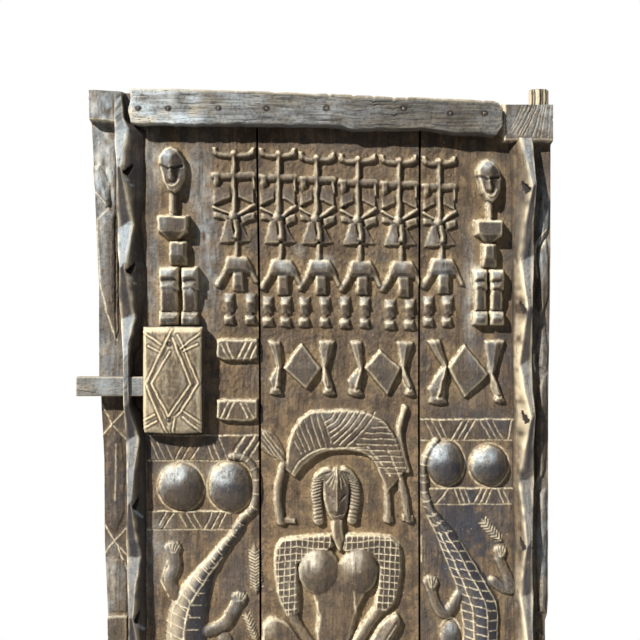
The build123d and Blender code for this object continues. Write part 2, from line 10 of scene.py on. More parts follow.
import bmesh
import bpy
import numpy as np
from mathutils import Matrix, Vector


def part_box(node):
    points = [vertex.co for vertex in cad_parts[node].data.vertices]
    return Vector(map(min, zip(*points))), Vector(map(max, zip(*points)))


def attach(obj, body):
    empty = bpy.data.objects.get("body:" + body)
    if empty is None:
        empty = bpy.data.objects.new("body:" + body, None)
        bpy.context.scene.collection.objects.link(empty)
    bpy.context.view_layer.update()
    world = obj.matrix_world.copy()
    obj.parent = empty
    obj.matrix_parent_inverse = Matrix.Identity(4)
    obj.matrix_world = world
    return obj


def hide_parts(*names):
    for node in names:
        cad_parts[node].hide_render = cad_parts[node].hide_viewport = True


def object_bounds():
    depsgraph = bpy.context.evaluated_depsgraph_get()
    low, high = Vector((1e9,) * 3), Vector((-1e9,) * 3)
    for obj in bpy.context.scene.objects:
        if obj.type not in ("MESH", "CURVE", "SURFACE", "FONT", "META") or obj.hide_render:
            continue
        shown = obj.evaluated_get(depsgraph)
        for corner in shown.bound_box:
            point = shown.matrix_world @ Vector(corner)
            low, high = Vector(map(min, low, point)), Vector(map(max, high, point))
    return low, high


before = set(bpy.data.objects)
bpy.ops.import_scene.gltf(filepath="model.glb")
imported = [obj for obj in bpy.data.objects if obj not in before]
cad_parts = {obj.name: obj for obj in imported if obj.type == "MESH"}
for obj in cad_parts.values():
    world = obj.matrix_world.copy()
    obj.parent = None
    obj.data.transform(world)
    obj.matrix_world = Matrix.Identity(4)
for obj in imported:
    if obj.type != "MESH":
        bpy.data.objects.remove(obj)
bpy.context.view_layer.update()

# %% [markdown]
# ## A squared sheet for the carver
# Carvers lay a design out on squares. Here one square is 2 mm of the door. Columns are counted from the
# sheet's left edge and rows from its top, so the leaf starts at column 90.5 and row 92. Two short functions
# turn squares into metres, and every outline below is written in squares. Heights above the planks' face
# are in millimetres, because that is how one thinks of the depth of a carving.

# %% The sheet
SQUARE = 0.002
MM = 0.001
SHEET_LEFT = 90.5
SHEET_TOP = 92.0
leaf_low, leaf_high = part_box("left_plank")
free_edge, leaf_top, back_y = leaf_low[0], leaf_high[2], leaf_high[1]
PLANK_THICKNESS = 0.038
face_y = back_y - PLANK_THICKNESS
SHEET_FOOT = SHEET_TOP + leaf_top / SQUARE
SEEN_ROWS = 645


def path(text):
    """The points of an outline or the rows of a table: numbers written as in "3,4 5,6", or made before."""
    return [tuple(map(float, point.split(","))) for point in text.split()] if isinstance(text, str) else text


def near(column, row, text):
    """Points written as steps from a place."""
    return [(column + dx, row + dy) for dx, dy in path(text)]


def across(column):
    """Metres along the leaf for a column of the sheet."""
    return free_edge + (column - SHEET_LEFT) * SQUARE


def up(row):
    """Metres above the leaf's foot for a row of the sheet."""
    return leaf_top - (row - SHEET_TOP) * SQUARE


def out(height):
    """The Y of a point that stands a number of millimetres in front of the planks' face."""
    return face_y - height * MM


print("the sheet's rows:", SHEET_TOP, "to", SHEET_FOOT)

# %% [markdown]
# ## From numbers to meshes
# A carved face is a surface over a grid: every grid point has a column, a row and a height. To make it a
# closed solid we add a back, with far fewer points, and four walls. A wall is a row of fans: a back point is
# joined to several front points, so the fine front and the coarse back still share their edges and nothing
# is open.

# %% Meshes from grids
EVERY = 8  # one back point for so many front points


def fill_mesh(name, points, faces):
    """A mesh from an array of points and a list of index arrays, one array per face size."""
    mesh = bpy.data.meshes.new(name)
    sizes = np.concatenate([np.full(len(group), group.shape[1]) for group in faces]).astype(np.int32)
    corners = np.concatenate([group.ravel() for group in faces]).astype(np.int32)
    mesh.vertices.add(len(points))
    mesh.vertices.foreach_set("co", np.asarray(points, np.float32).ravel())
    mesh.loops.add(len(corners))
    mesh.loops.foreach_set("vertex_index", corners)
    mesh.polygons.add(len(sizes))
    mesh.polygons.foreach_set("loop_start", np.concatenate([[0], np.cumsum(sizes)[:-1]]).astype(np.int32))
    mesh.update(calc_edges=True)
    mesh.validate()
    return mesh


def new_piece(name, mesh, body, slot, *nodes):
    """An object at the origin that rides on a body and stands for solids of the frame."""
    piece = bpy.data.objects.new(name, mesh)
    bpy.context.scene.collection.objects.link(piece)
    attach(piece, body)
    if nodes:
        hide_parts(*nodes)
    return piece


def grid_quads(rows, columns, first=0):
    """The quads of a grid of points, numbered row by row from first, seen counterclockwise from the front."""
    index = first + np.arange(rows * columns).reshape(rows, columns)
    corner = [index[:-1, :-1], index[1:, :-1], index[1:, 1:], index[:-1, 1:]]
    return np.stack(corner, -1).reshape(-1, 4)


def marks(count):
    """Where the coarse back takes its lines from: every eighth index, and two close to the ends."""
    return np.unique(np.concatenate([np.arange(0, count, EVERY), [2, count - 3, count - 1]]))


def grid_normals(x, y, front):
    """The outward direction at each grid point: the cross product of the steps along its row and column."""
    grid = np.stack([x, front, y], -1)
    normal = np.cross(np.gradient(grid, axis=0), np.gradient(grid, axis=1))
    return normal / np.linalg.norm(normal, axis=2, keepdims=True)


def shell(name, x, y, front, back, back_x=None, normals=None):
    """A closed solid under a carved face. x, y and front are grids of metres: across, up and out.
    The back lies at the depth `back` (a number or a grid), with columns back_x where they differ.
    Where the grid is part of a larger one, its normals are given, so that the seam doesn't show."""
    rows, columns = x.shape
    down, along = marks(rows), marks(columns)
    rear_x = (x if back_x is None else back_x)[np.ix_(down, along)]
    rear_y = y[np.ix_(down, along)]
    back = back[np.ix_(down, along)] if np.ndim(back) else back
    rear = np.stack([rear_x, np.broadcast_to(back, rear_x.shape), rear_y], -1).reshape(-1, 3)
    points = np.concatenate([np.stack([x, front, y], -1).reshape(-1, 3), rear])
    fine = np.arange(rows * columns).reshape(rows, columns)
    coarse = rows * columns + np.arange(len(down) * len(along)).reshape(len(down), len(along))
    faces = [grid_quads(rows, columns), grid_quads(len(down), len(along), rows * columns)[:, ::-1]]
    sides = [
        (fine[0], coarse[0], along, False), (fine[-1], coarse[-1], along, True),
        (fine[:, 0], coarse[:, 0], down, True), (fine[:, -1], coarse[:, -1], down, False),
    ]
    for fine_line, coarse_line, stops, turned in sides:
        for step, (start, stop) in enumerate(zip(stops[:-1], stops[1:])):
            rim = np.append(fine_line[start:stop + 1], coarse_line[step + 1])
            fan = np.stack([rim[:-1], rim[1:], np.full(len(rim) - 1, coarse_line[step])], -1)
            faces.append(fan[:, ::-1] if turned else fan)
    mesh = fill_mesh(name, points, faces)
    smooth = np.zeros(len(mesh.polygons), bool)
    smooth[:len(faces[0]) + len(faces[1])] = True
    mesh.polygons.foreach_set("use_smooth", smooth)
    if normals is not None:
        kept = np.empty(len(mesh.loops) * 3, np.float32)
        mesh.corner_normals.foreach_get("vector", kept)
        kept = kept.reshape(-1, 3)
        front_corners = faces[0].ravel()
        kept[:len(front_corners)] = normals.reshape(-1, 3)[front_corners]
        mesh.normals_split_custom_set(kept)
    return mesh


def paint(mesh, **values):
    """Stores one number per point under each name, for the materials to read."""
    for name, numbers in values.items():
        layer = mesh.attributes.new(name, "FLOAT", "POINT")
        filled = np.zeros(len(mesh.vertices), np.float32)
        flat = np.asarray(numbers, np.float32).ravel()
        filled[:len(flat)] = flat
        layer.data.foreach_set("value", filled)


# %% [markdown]
# ## Distances do the carving
# Almost every form on the door can be said with a distance: how far a place lies inside an outline, or how
# far it is from a line. A chip left standing climbs from its outline over a short bank. A bar is high near
# its line. A knife cut dips near its line, and its lips are pale because the patina is gone there.

# %% Distances on the sheet


def unit(share):
    """A share held between 0 and 1."""
    return np.clip(share, 0, 1)


def bell(away):
    """The bell curve exp(-d^2) of a distance d: 1 at the line, near 0 two widths away."""
    return np.exp(-away ** 2)


def to_segment(x, y, start, end):
    """Distance from each place to a straight line between two points."""
    dx, dy = end[0] - start[0], end[1] - start[1]
    share = unit(((x - start[0]) * dx + (y - start[1]) * dy) / (dx * dx + dy * dy + 1e-9))
    return np.hypot(x - start[0] - share * dx, y - start[1] - share * dy)


def to_line(x, y, line):
    """Distance to a line of several straight stretches: the least over the stretches."""
    return np.minimum.reduce([to_segment(x, y, a, b) for a, b in zip(line[:-1], line[1:])])


def depth_inside(x, y, outline):
    """Distance to a closed outline, positive inside it: a place is inside when a level line from it
    crosses the outline an odd number of times."""
    closed = list(outline) + [outline[0]]
    inside = np.zeros(x.shape, bool)
    for (x0, y0), (x1, y1) in zip(closed[:-1], closed[1:]):
        crosses = (y0 > y) != (y1 > y)
        inside ^= crosses & (x < (x1 - x0) * (y - y0) / (y1 - y0 + 1e-9) + x0)
    return np.where(inside, 1, -1) * to_line(x, y, closed)


def ease(share):
    """A soft step from 0 to 1: 3 t^2 - 2 t^3 of the share t, held to 0 and 1 outside it."""
    t = unit(share)
    return t * t * (3 - 2 * t)


def curve(points, count=24):
    """A smooth line through chosen points: a Catmull-Rom curve, which leaves each point along the line
    that joins its two neighbours."""
    points = path(points)
    p = np.array([points[0], *points, points[-1]], float)
    t = np.linspace(0, len(points) - 1, count)
    k = np.clip(t.astype(int), 0, len(points) - 2)
    u = (t - k)[:, None]
    a, b, c, d = p[k], p[k + 1], p[k + 2], p[k + 3]
    bent = 2 * b + (c - a) * u + (2 * a - 5 * b + 4 * c - d) * u ** 2 + (3 * b - a - 3 * c + d) * u ** 3
    return [tuple(pair) for pair in bent / 2]


def cloud(shape, spacing, seed):
    """Soft random waves between -1 and 1: random heights on a coarse grid, joined by eased steps."""
    rng = np.random.default_rng(seed)
    rows, columns = [np.arange(count) / step for count, step in zip(shape, spacing)]
    coarse = rng.uniform(-1, 1, (int(rows[-1]) + 2, int(columns[-1]) + 2))
    i, j = rows.astype(int)[:, None], columns.astype(int)[None]
    u, v = ease(rows[:, None] - i), ease(columns[None] - j)
    near = coarse[i, j] * (1 - v) + coarse[i, j + 1] * v
    far = coarse[i + 1, j] * (1 - v) + coarse[i + 1, j + 1] * v
    return near * (1 - u) + far * u


def blurred(height, radius):
    """Each place's mean over a square around it, taken twice: what the surface would be without detail."""
    for _ in range(2):
        for axis in (0, 1):
            padded = np.pad(height, [(radius + 1, radius) if a == axis else (0, 0) for a in (0, 1)], "edge")
            sums = np.cumsum(padded, axis)
            ends = np.take(sums, np.arange(2 * radius + 1, sums.shape[axis]), axis)
            starts = np.take(sums, np.arange(0, sums.shape[axis] - 2 * radius - 1), axis)
            height = (ends - starts) / (2 * radius + 1)
    return height


# %% [markdown]
# ## The three planks as carved faces
# A face holds the grid of its plank: the columns follow the plank's two edges, which lean and wander, and
# the rows crowd together below the sloping top edge. Rows are 0.8 squares apart where the door is seen close
# up, and further apart near the foot.

# %% The faces
ROW_STEP = 0.8
FOOT_ROWS = 130
GAP_HALF = 1.15
rows_of_sheet = np.concatenate([
    np.arange(SHEET_TOP, SEEN_ROWS, ROW_STEP), np.linspace(SEEN_ROWS, SHEET_FOOT, FOOT_ROWS)])
free_edge_line = path("92,90.5 285,99 375,99.2 395,101 460,104.4 540,104.8 620,108.4 932,112")
left_gap_line = path("92,256.8 138,257 330,259.8 640,260.5 932,261")
right_gap_line = path("92,420.2 140,420 400,419 640,419.7 932,419")
hinge_edge_line = path("92,550.5 250,550.5 320,549.5 400,548.2 600,548 614,547 620,545 932,545")
HEAD_SLOPE = 15 / 460
PIVOT_SHOULDER = 501.5
SHOULDER_ROW = 107


def along_line(line, rows):
    """The column of a wandering edge at each row."""
    return np.interp(rows, *zip(*line))


class Face:
    """One plank's face: columns x, rows y and heights h on a grid, with masks for the materials."""

    def __init__(self, name, left, right, left_gap, right_gap, columns):
        """The edges are wandering lines; an edge at a seam keeps half a gap to its neighbour."""
        self.name = name
        self.rows = rows_of_sheet
        share = np.linspace(0, 1, columns)[None]
        left_edge = (along_line(left, self.rows) + (GAP_HALF if left_gap else 0))[:, None]
        right_edge = (along_line(right, self.rows) - (GAP_HALF if right_gap else 0))[:, None]
        self.x = left_edge + (right_edge - left_edge) * share
        back_left = along_line(left, self.rows)[:, None]
        self.back_x = back_left + (along_line(right, self.rows)[:, None] - back_left) * share
        fall = HEAD_SLOPE * (PIVOT_SHOULDER - SHEET_LEFT)
        head = np.interp(self.x, (SHEET_LEFT, PIVOT_SHOULDER), (0, fall))
        head = np.where(self.x > PIVOT_SHOULDER, SHOULDER_ROW - SHEET_TOP, head)
        self.y = self.rows[:, None] + head * unit(1 - (self.rows[:, None] - SHEET_TOP) / 30)
        shape, seed = self.x.shape, 200 + columns
        self.sway = [0.5 * cloud(shape, (13, 11), seed + k) + 0.28 * cloud(shape, (5, 4), seed + 2 + k)
                     for k in (0, 1)]
        skips = 0.68 + 0.45 * cloud(shape, (4, 3), seed + 4) + 0.3 * cloud(shape, (2, 2), seed + 5)
        self.skips = np.clip(skips, 0.1, 1)
        self.h, self.scored, self.cut, self.silver, self.shade, self.gloss = np.zeros((6, *shape))

    def cloud(self, spacing, seed):
        """Random waves over the whole face."""
        return cloud(self.h.shape, spacing, seed)


faces = [
    Face("left_plank", free_edge_line, left_gap_line, False, True, 208),
    Face("middle_plank", left_gap_line, right_gap_line, True, True, 202),
    Face("right_plank", right_gap_line, hinge_edge_line, True, False, 164),
]
print("face grids:", [face.x.shape for face in faces])

# %% [markdown]
# ## Carving tools
# Each tool works on every face that its shape touches, so a figure may run across a seam as it does on the
# door. The highest form wins where two meet, and cuts are taken off at the end.

# %% Tools


def patches(points, margin):
    """The parts of the faces that a shape can reach, with their columns and rows. A small slow sway is added
    to both, so that no line is ruled and no curve is perfect: the hand wanders."""
    low = np.min(points, 0) - margin
    high = np.max(points, 0) + margin
    for face in faces:
        rows = np.flatnonzero((face.rows >= low[1] - 16) & (face.rows <= high[1]))
        if not len(rows):
            continue
        near = face.x[rows[0]:rows[-1] + 1]
        columns = np.flatnonzero((near.min(0) <= high[0]) & (near.max(0) >= low[0]))
        if len(columns):
            place = np.s_[rows[0]:rows[-1] + 1, columns[0]:columns[-1] + 1]
            yield face, place, face.x[place] + face.sway[0][place], face.y[place] + face.sway[1][place]


STEEP = 0.6


def stand(face, place, height, over=False):
    """Leaves wood standing: the highest form wins and has no cuts yet, or it is added on what is there."""
    if over:
        face.h[place] += height
    else:
        older = height <= face.h[place] + 0.5
        face.h[place] = np.maximum(face.h[place], height)
        face.scored[place] *= older
        face.cut[place] *= older


def chip(outline, rise, bank=2.0, crown=0.0, facets=(), gloss=0.0):
    """A block with a bank round it. Its top is the lowest of the rise and of its facets, which are planes
    (column, row, height, slope across, slope down); crown adds a swell that grows inwards."""
    outline = path(outline)
    for face, place, x, y in patches(outline, 1):
        inward = depth_inside(x, y, outline)
        top = np.full(x.shape, float(rise))
        for column, row, height, slope_x, slope_y in facets:
            top = np.minimum(top, height + slope_x * (x - column) + slope_y * (y - row))
        reach = max(inward.max(), 1e-6)
        top = top + crown * (1 - (1 - unit(inward / reach)) ** 2)
        stand(face, place, np.maximum(top, 0) * ease(inward / (STEEP * bank)))
        if gloss:
            face.gloss[place] = np.maximum(face.gloss[place], gloss * ease(inward / bank))


def hip(outline, crest, rise, foot=0.0, bank=1.2, over=False, gloss=0.0):
    """A faceted swelling that falls evenly from its crest line to its outline: the height is the rise times
    the share d / (d + c) of the depth inside, d, and the distance to the crest, c, on a foot of its own."""
    outline, crest = path(outline), path(crest)
    for face, place, x, y in patches(outline, 1):
        inward = depth_inside(x, y, outline)
        share = np.clip(inward, 0, None)
        share = share / (share + to_line(x, y, crest) + 1e-6)
        stand(face, place, (foot + (rise - foot) * share) * ease(inward / (STEEP * bank)), over)
        if gloss:
            face.gloss[place] = np.maximum(face.gloss[place], gloss * ease(inward / bank))


def rail(line, width, rise, bank=1.8, crown=0.45, over=False):
    """A raised bar along a line, a little round on top: it falls off over its bank at half its width."""
    line = path(line)
    for face, place, x, y in patches(line, width):
        away = to_line(x, y, line)
        top = rise * (1 - crown * unit(2 * away / width) ** 2)
        stand(face, place, top * ease((width / 2 + bank / 4 - away) / (STEEP * bank)), over)


def dome(column, row, radius_x, radius_y, rise, foot=0.0, gloss=0.0, power=0.5):
    """A boss: the rise times (1 - r^2) to a power, where r runs from 0 in the middle to 1 at the rim."""
    rim = [(column - radius_x, row - radius_y), (column + radius_x, row + radius_y)]
    for face, place, x, y in patches(rim, 1):
        inside = 1 - ((x - column) / radius_x) ** 2 - ((y - row) / radius_y) ** 2
        stand(face, place, foot * (inside > 0) + rise * unit(inside) ** power)
        if gloss:
            face.gloss[place] = np.maximum(face.gloss[place], gloss * unit(3 * inside))


def cut(line, depth=1.3, width=0.8, pale=1.0):
    """A knife cut: the wood dips by a bell curve of the distance to the line. Its lower lip, which the knife
    pushed up, stands a little and is pale."""
    line, lip = path(line), 0.75 * width if depth > 0 else 0
    for face, place, x, y in patches(line, 3 * width):
        dip = bell(to_line(x, y, line) / width)
        raised = bell(to_line(x - lip, y - lip, line) / width)
        face.scored[place] += (0.3 * raised * (lip > 0) - dip) * depth
        face.cut[place] = np.maximum(face.cut[place], pale * raised * face.skips[place])


def cuts(lines, *knife):
    """Straight cuts, each written as the column and row of its top and of its foot."""
    for top_x, top_y, foot_x, foot_y in path(lines):
        cut([(top_x, top_y), (foot_x, foot_y)], *knife)


def rib(line, rise=1.2, width=0.8, pale=1.0):
    """The other way round: a thin raised line, pale along its crest."""
    cut(line, -rise, width, pale)


def sink(outline, depth, bank=1.5):
    """Wood taken away inside an outline."""
    outline = path(outline)
    for face, place, x, y in patches(outline, 1):
        face.h[place] -= depth * ease(depth_inside(x, y, outline) / bank)


def box_line(left, top, right, bottom):
    """The four corners of an upright block."""
    return [(left, top), (right, top), (right, bottom), (left, bottom)]


# %% [markdown]
# ## The masked dancers
# Six dancers stand in a row under tall crosses. They are cut by one rule and differ by the carver's hand:
# each one's rows and widths are its own. A dancer is a cross of two bars, forearms, a V of arms, an egg for
# the mask, a skirt of two leaning panels, a neck, sloping shoulders, a belly and two legs of three facets.

# %% Dancers
HEADDRESS, BODY = 11, 17  # heights above the planks' face, in millimetres
LEG_WIDTH = 11
# axis, left end, right end, upper bar, lower bar, mask, skirt foot, shoulders, leg top, foot top
DANCERS = (
    (234.3, 212.3, 255.4, 154.6, 172.3, 217.1, 242.6, 256.4, 293.0, 316.0, (229.4, 250.6)),
    (278.6, 259.4, 296.4, 155.0, 174.2, 218.5, 243.6, 259.5, 296.2, 318.0, (268.0, 285.8)),
    (316.5, 298.8, 335.0, 159.0, 176.3, 219.5, 244.3, 259.9, 296.4, 318.2, (304.0, 324.6)),
    (357.8, 339.2, 376.6, 160.5, 179.0, 220.8, 245.0, 260.7, 296.0, 319.6, (345.0, 364.6)),
    (398.8, 380.0, 417.4, 162.0, 181.0, 222.0, 246.0, 261.0, 298.6, 321.0, (389.8, 409.3)),
    (438.9, 421.8, 455.8, 163.0, 183.4, 223.4, 246.8, 258.5, 295.4, 318.2, (428.2, 447.0)),
)


def headdress(axis, left, right, upper, lower, mask):
    """The tall cross: a shaft, an upper bar with turned-up ends, and a lower bar whose left end hooks down.
    Below it two wings lean out to a sharp lower edge, with the arms of the V in the hollow under them."""
    for side in (left + 0.8, right - 0.8):
        inner = axis + (3.4 if side > axis else -3.4)
        tilt = 1 if side > axis else -1
        chip([(side, lower + 9), (inner, lower + 9), (inner, mask - 19), (inner + 4 * tilt, mask - 17.4),
              (side, mask - 12)],
             9, bank=1.1, facets=[(0, lower + 9, 0.4, 0, 0.5)])
    rail([(axis, upper - 1), (axis, mask - 5)], 5.2, HEADDRESS + 1, crown=0.6)
    rail(near(left, upper, "2.5,-1.6 8,0.6") + near(axis, upper, "0,1.8"), 6.2, HEADDRESS - 1, crown=0.6)
    rail(near(axis, upper, "0,1.8") + near(right, upper, "-7,0.6 -2.5,-1.6"), 6.0, HEADDRESS - 1, crown=0.6)
    hip(near(left, upper, "-1,-7.5 4.6,-7 7,1 1.4,2"),
        near(left, upper, "1.6,-5 3.6,0"), 13, 7)
    hip(near(right, upper, "-3.8,-6.6 0.2,-7 -0.6,0 -5,1"),
        near(right, upper, "-1.8,-5 -3,0"), 12, 7)
    dome(axis + 0.4, upper - 0.6, 3.6, 3.8, 14)
    rail([(left + 1.5, lower + 3.6), (axis, lower + 4), (right - 1.5, lower + 3.6)], 7.4, HEADDRESS - 1,
         bank=1.8, crown=0.5)
    chip(near(left, lower, "0,0 8,0 8,12 5.4,17 1.4,17.4"),
         HEADDRESS, bank=2.4, crown=1, facets=[(left + 5, lower + 9, HEADDRESS, -0.5, -1.3)])
    chip(near(right, lower, "-4.4,1 0.4,0 0.2,19 -2.4,17"),
         HEADDRESS - 2, bank=1.6)


def arms(axis, left, right, mask):
    """The V of thin arms from the mask to both sides, and the flat upper arms that hang from the neck."""
    rail(near(left, mask, "2,-10 7,-7.4") + near(axis, mask, "-3,-3"), 3.4, 10, bank=1.2)
    rail(near(right, mask, "-1,-12 -8,-7") + near(axis, mask, "4,-2.4"), 3.6, 10, bank=1.2)
    chip(near(left, mask, "1,-5.4 9,-4.6") + near(axis, mask, "-4,-0.6 -6,5") + near(left, mask, "8,2 1,1.6"),
         8, bank=1.8, crown=1)
    chip(near(axis, mask, "6,-1 13,-3.4") + near(right, mask, "0,-4.6 0,3") + near(axis, mask, "13,5 8,8"),
         8, bank=1.8, crown=1)


def skirt(axis, mask, foot):
    """A tall keel runs down from the mask; a wide lit panel leans on its left and a low one on its right."""
    chip(near(axis, mask, "-9,3 -2,1") + near(axis, foot, "2,0.4 -15.6,0.8 -12,-10"),
         12, bank=1.6, facets=[(axis - 15, foot, 6, 0.34, -0.06)])
    chip(near(axis, mask, "2,4 8,6") + near(axis, foot, "13,-8 18.4,-0.8 3,0.6"),
         9, bank=1.4, facets=[(axis + 4, foot, 9, -0.34, 0)])
    hip(near(axis, mask, "-2.6,2 4.4,2 6.6,12") + near(axis, foot, "5.4,-2 -0.4,-1.6")
        + near(axis, mask, "0.4,14"), [(axis + 0.8, mask + 4), (axis + 2.4, foot - 5)], BODY + 3, 12,
        bank=1.6)
    cut(near(axis, foot, "-1,-3 6,-3.4"), 1.6, 0.8, 0)


def torso(axis, shoulders, leg_top):
    """Neck, sloping shoulders with a chamfered lower edge, arms that reach down and out, and the belly."""
    rail(near(axis, shoulders, "2.4,-14 2.4,1"), 5.2, 10, crown=0.6)
    chip(near(axis, shoulders, "-7,0 13,0 18.6,10 23,21 15,18 -9,17 -10.4,12"),
         BODY, bank=1.8, facets=[(axis, shoulders + 2.4, BODY - 2, 0, 1.4),
                                 (axis, shoulders + 12, BODY, 0, -1.5),
                                 (axis + 12, shoulders, BODY, -1.2, 0),
                                 (axis - 7, shoulders + 9, BODY - 2, 1.2, 0)])
    rail(near(axis, shoulders, "-7.4,14 -11,20 -16,28"), 6.4, 12, bank=2.2, crown=0.6)
    rail(near(axis, shoulders, "17,15 22.4,25"), 5.6, 11, bank=2.0, crown=0.6)
    belly = box_line(axis - 1.8, shoulders + 16, axis + 10.6, leg_top - 0.6)
    chip(belly, BODY - 1, bank=2.2, facets=[(axis, shoulders + 28, BODY - 1, 0, -1.3),
                                            (axis + 7, 0, BODY - 1, -1.4, 0)], gloss=0.5)


def leg(middle, top, foot):
    """A thigh that bulges: it leans up to the light and then falls away; under a dark ankle, the foot."""
    half = LEG_WIDTH / 2
    bulge = top + 0.36 * (foot - top)
    hip([(middle - half, top), (middle + half + 0.6, top), (middle + half - 0.4, foot - 3),
         (middle - half + 1.4, foot - 3)],
        near(middle, bulge, "-2,0 1.6,0"), BODY + 1, 4, bank=1.6, gloss=0.5)
    rail(near(middle, foot, "0,-5 0,2"), 6, 6, bank=2)
    hip(box_line(middle - half, foot - 1, middle + half - 0.4, foot + 9), near(middle, foot, "-2,2.4 2,2.6"),
        BODY, 5, bank=1.4)


for axis, left, right, upper, lower, mask, foot, shoulders, leg_top, foot_top, feet in DANCERS:
    headdress(axis, left, right, upper, lower, mask)
    arms(axis, left, right, mask)
    skirt(axis, mask, foot)
    dome(axis - 1, mask, 4.6, 6.2, 20, gloss=0.6)
    torso(axis, shoulders, leg_top)
    for middle in feet:
        leg(middle, leg_top, foot_top)
print("dancers:", len(DANCERS))

# %% [markdown]
# ## The two ancestors
# The ancestors are built of blocks one above the other, like stacked stools: an egg of a head with a sharp
# middle line, a neck, a slab of a torso that is cut back underneath, a waist block, and legs in three tiers.

# %% Ancestors
ANCESTOR = 31


def ancestor(crown_x, crown_y, size, torso_left, torso_right, torso_top, waist, legs, tiers):
    """The blocks' outlines are given by their edges; the head is drawn from its crown and a size."""

    def at(column, row):
        """A place on the head, by its steps from the crown."""
        return crown_x + column * size, crown_y + row * size

    head = [at(-1, -1), at(6, 3), at(13, 12), at(15.4, 22), at(14.6, 32), at(9.6, 42), at(4, 48), at(-3, 45),
            at(-8, 37), at(-10, 29), at(-12.6, 20), at(-13, 11), at(-7, 2.4)]
    chip(head, ANCESTOR, bank=2.6, gloss=0.45,
         facets=[(crown_x, crown_y + 8 * size, ANCESTOR - 3, 0.0, 1.5),
                 (crown_x + 0.5, 0, ANCESTOR + 0.5, -1.35, 0),
                 (crown_x - 1.5, 0, ANCESTOR, 0.8, 0), (0, crown_y + 15 * size, ANCESTOR, 0, -0.2)])
    sink([at(-11, 19.6), at(-3, 22.6), at(0.2, 21.4), at(11, 20.2), at(11.4, 28), at(8, 37), at(4, 41),
          at(-3, 41), at(-8, 34)], 4, 4)
    hip([at(-2.6, 20), at(1.6, 20), at(4.4, 33), at(1, 36.6), at(-3.6, 34)], [at(-0.6, 22), at(0, 33)], 9.5,
        3, over=True)
    cut([at(-11.4, 19), at(-3.2, 23.4), at(0.2, 22.2)], 4.5, 1.4, 0)
    cut([at(1.8, 22.6), at(10.6, 20.6)], 4.5, 1.3, 0)
    rib([at(-1.8, 38.8), at(1.2, 40.4), at(5, 38.6), at(8.4, 33.8)], 1.8, 0.8, 0.7)
    neck_top, neck_end = at(0, 47)[1], torso_top + 1
    rail([(at(1.6, 0)[0], neck_top - 3), (at(1.8, 0)[0], neck_end)], 8 * size, 18, bank=2.4, crown=0.6)
    depth = 27 * size
    chip([(torso_left, torso_top), (torso_right, torso_top + 1), (torso_right - 1.5, torso_top + 18 * size),
          (torso_right - 13 * size, torso_top + depth), (torso_left + 13 * size, torso_top + depth),
          (torso_left + 1.5, torso_top + 17 * size)],
         ANCESTOR, bank=2.6, gloss=0.35,
         facets=[(0, torso_top + 17 * size, ANCESTOR, 0, -2.4), (torso_left, 0, ANCESTOR - 3, 0.9, 0),
                 (torso_right - 3, 0, ANCESTOR, -3.0, 0)])
    waist_left, waist_right, waist_end = waist
    chip(box_line(waist_left, torso_top + depth - 1, waist_right, waist_end), ANCESTOR - 5, bank=2.2,
         gloss=0.9,
         facets=[(0, torso_top + depth + 13, ANCESTOR - 5, 0, -1.8),
                 (waist_right - 5, 0, ANCESTOR - 5, -2.4, 0)])
    knee, shin, foot, sole = tiers
    for leg_left, leg_right in legs:
        middle = (leg_left + leg_right) / 2
        tier = box_line(leg_left, waist_end + 1, leg_right, knee)
        chip(tier, ANCESTOR, bank=2.2, gloss=0.7,
             facets=[(leg_left, waist_end + 10, ANCESTOR - 2, 0.5, 1.5),
                     (0, waist_end + 11, ANCESTOR, 0, -2.2),
                     (leg_right - 5, 0, ANCESTOR, -1.8, 0)])
        chip(box_line(leg_left + 0.6, knee - 2, leg_right, shin), ANCESTOR - 3, bank=2.2, gloss=0.6,
             facets=[(leg_left, knee + 4, ANCESTOR - 4, 0.4, 1.4), (0, knee + 4, ANCESTOR - 3, 0, -1.6),
                     (leg_right - 5, 0, ANCESTOR - 3, -1.8, 0)])
        chip([(leg_left + 1.2, shin - 2), (leg_right - 1.4, shin - 2), (leg_right - 1, foot),
              (leg_left + 1.2, foot)],
             ANCESTOR - 6, bank=2.2, crown=1, facets=[(leg_left, shin, ANCESTOR - 6, -0.2, -0.6),
                                                      (leg_right - 5, 0, ANCESTOR - 10, -1.2, 0)])
        chip(box_line(leg_left, foot - 1, leg_right, sole), ANCESTOR - 3, bank=2.2,
             facets=[(0, foot + 5, ANCESTOR - 3, 0, 2.2), (0, foot + 6, ANCESTOR - 3, 0, -1.2),
                     (leg_right - 5, 0, ANCESTOR - 3, -1.8, 0)])


ancestor(172.3, 147.3, 1.0, 157.4, 190.4, 215.4, (170, 189, 266), ((159.8, 180.2), (181.6, 200)),
         (283, 291, 312.5, 326))
ancestor(487.6, 159.8, 0.93, 472.4, 503.2, 220, (481, 496.4, 268), ((471.8, 487), (488, 503.6)),
         (283, 291, 312, 326))
print("ancestors carved")

# %% [markdown]
# ## Drums and lozenges
# Under the dancers runs a row of drums, narrow at the waist, with a lozenge between each pair. A drum is two
# hipped wedges that meet at the waist. A lozenge is a low pyramid with a level crease.

# %% Drums and lozenges
DRUM = 17
LOZENGE = 16


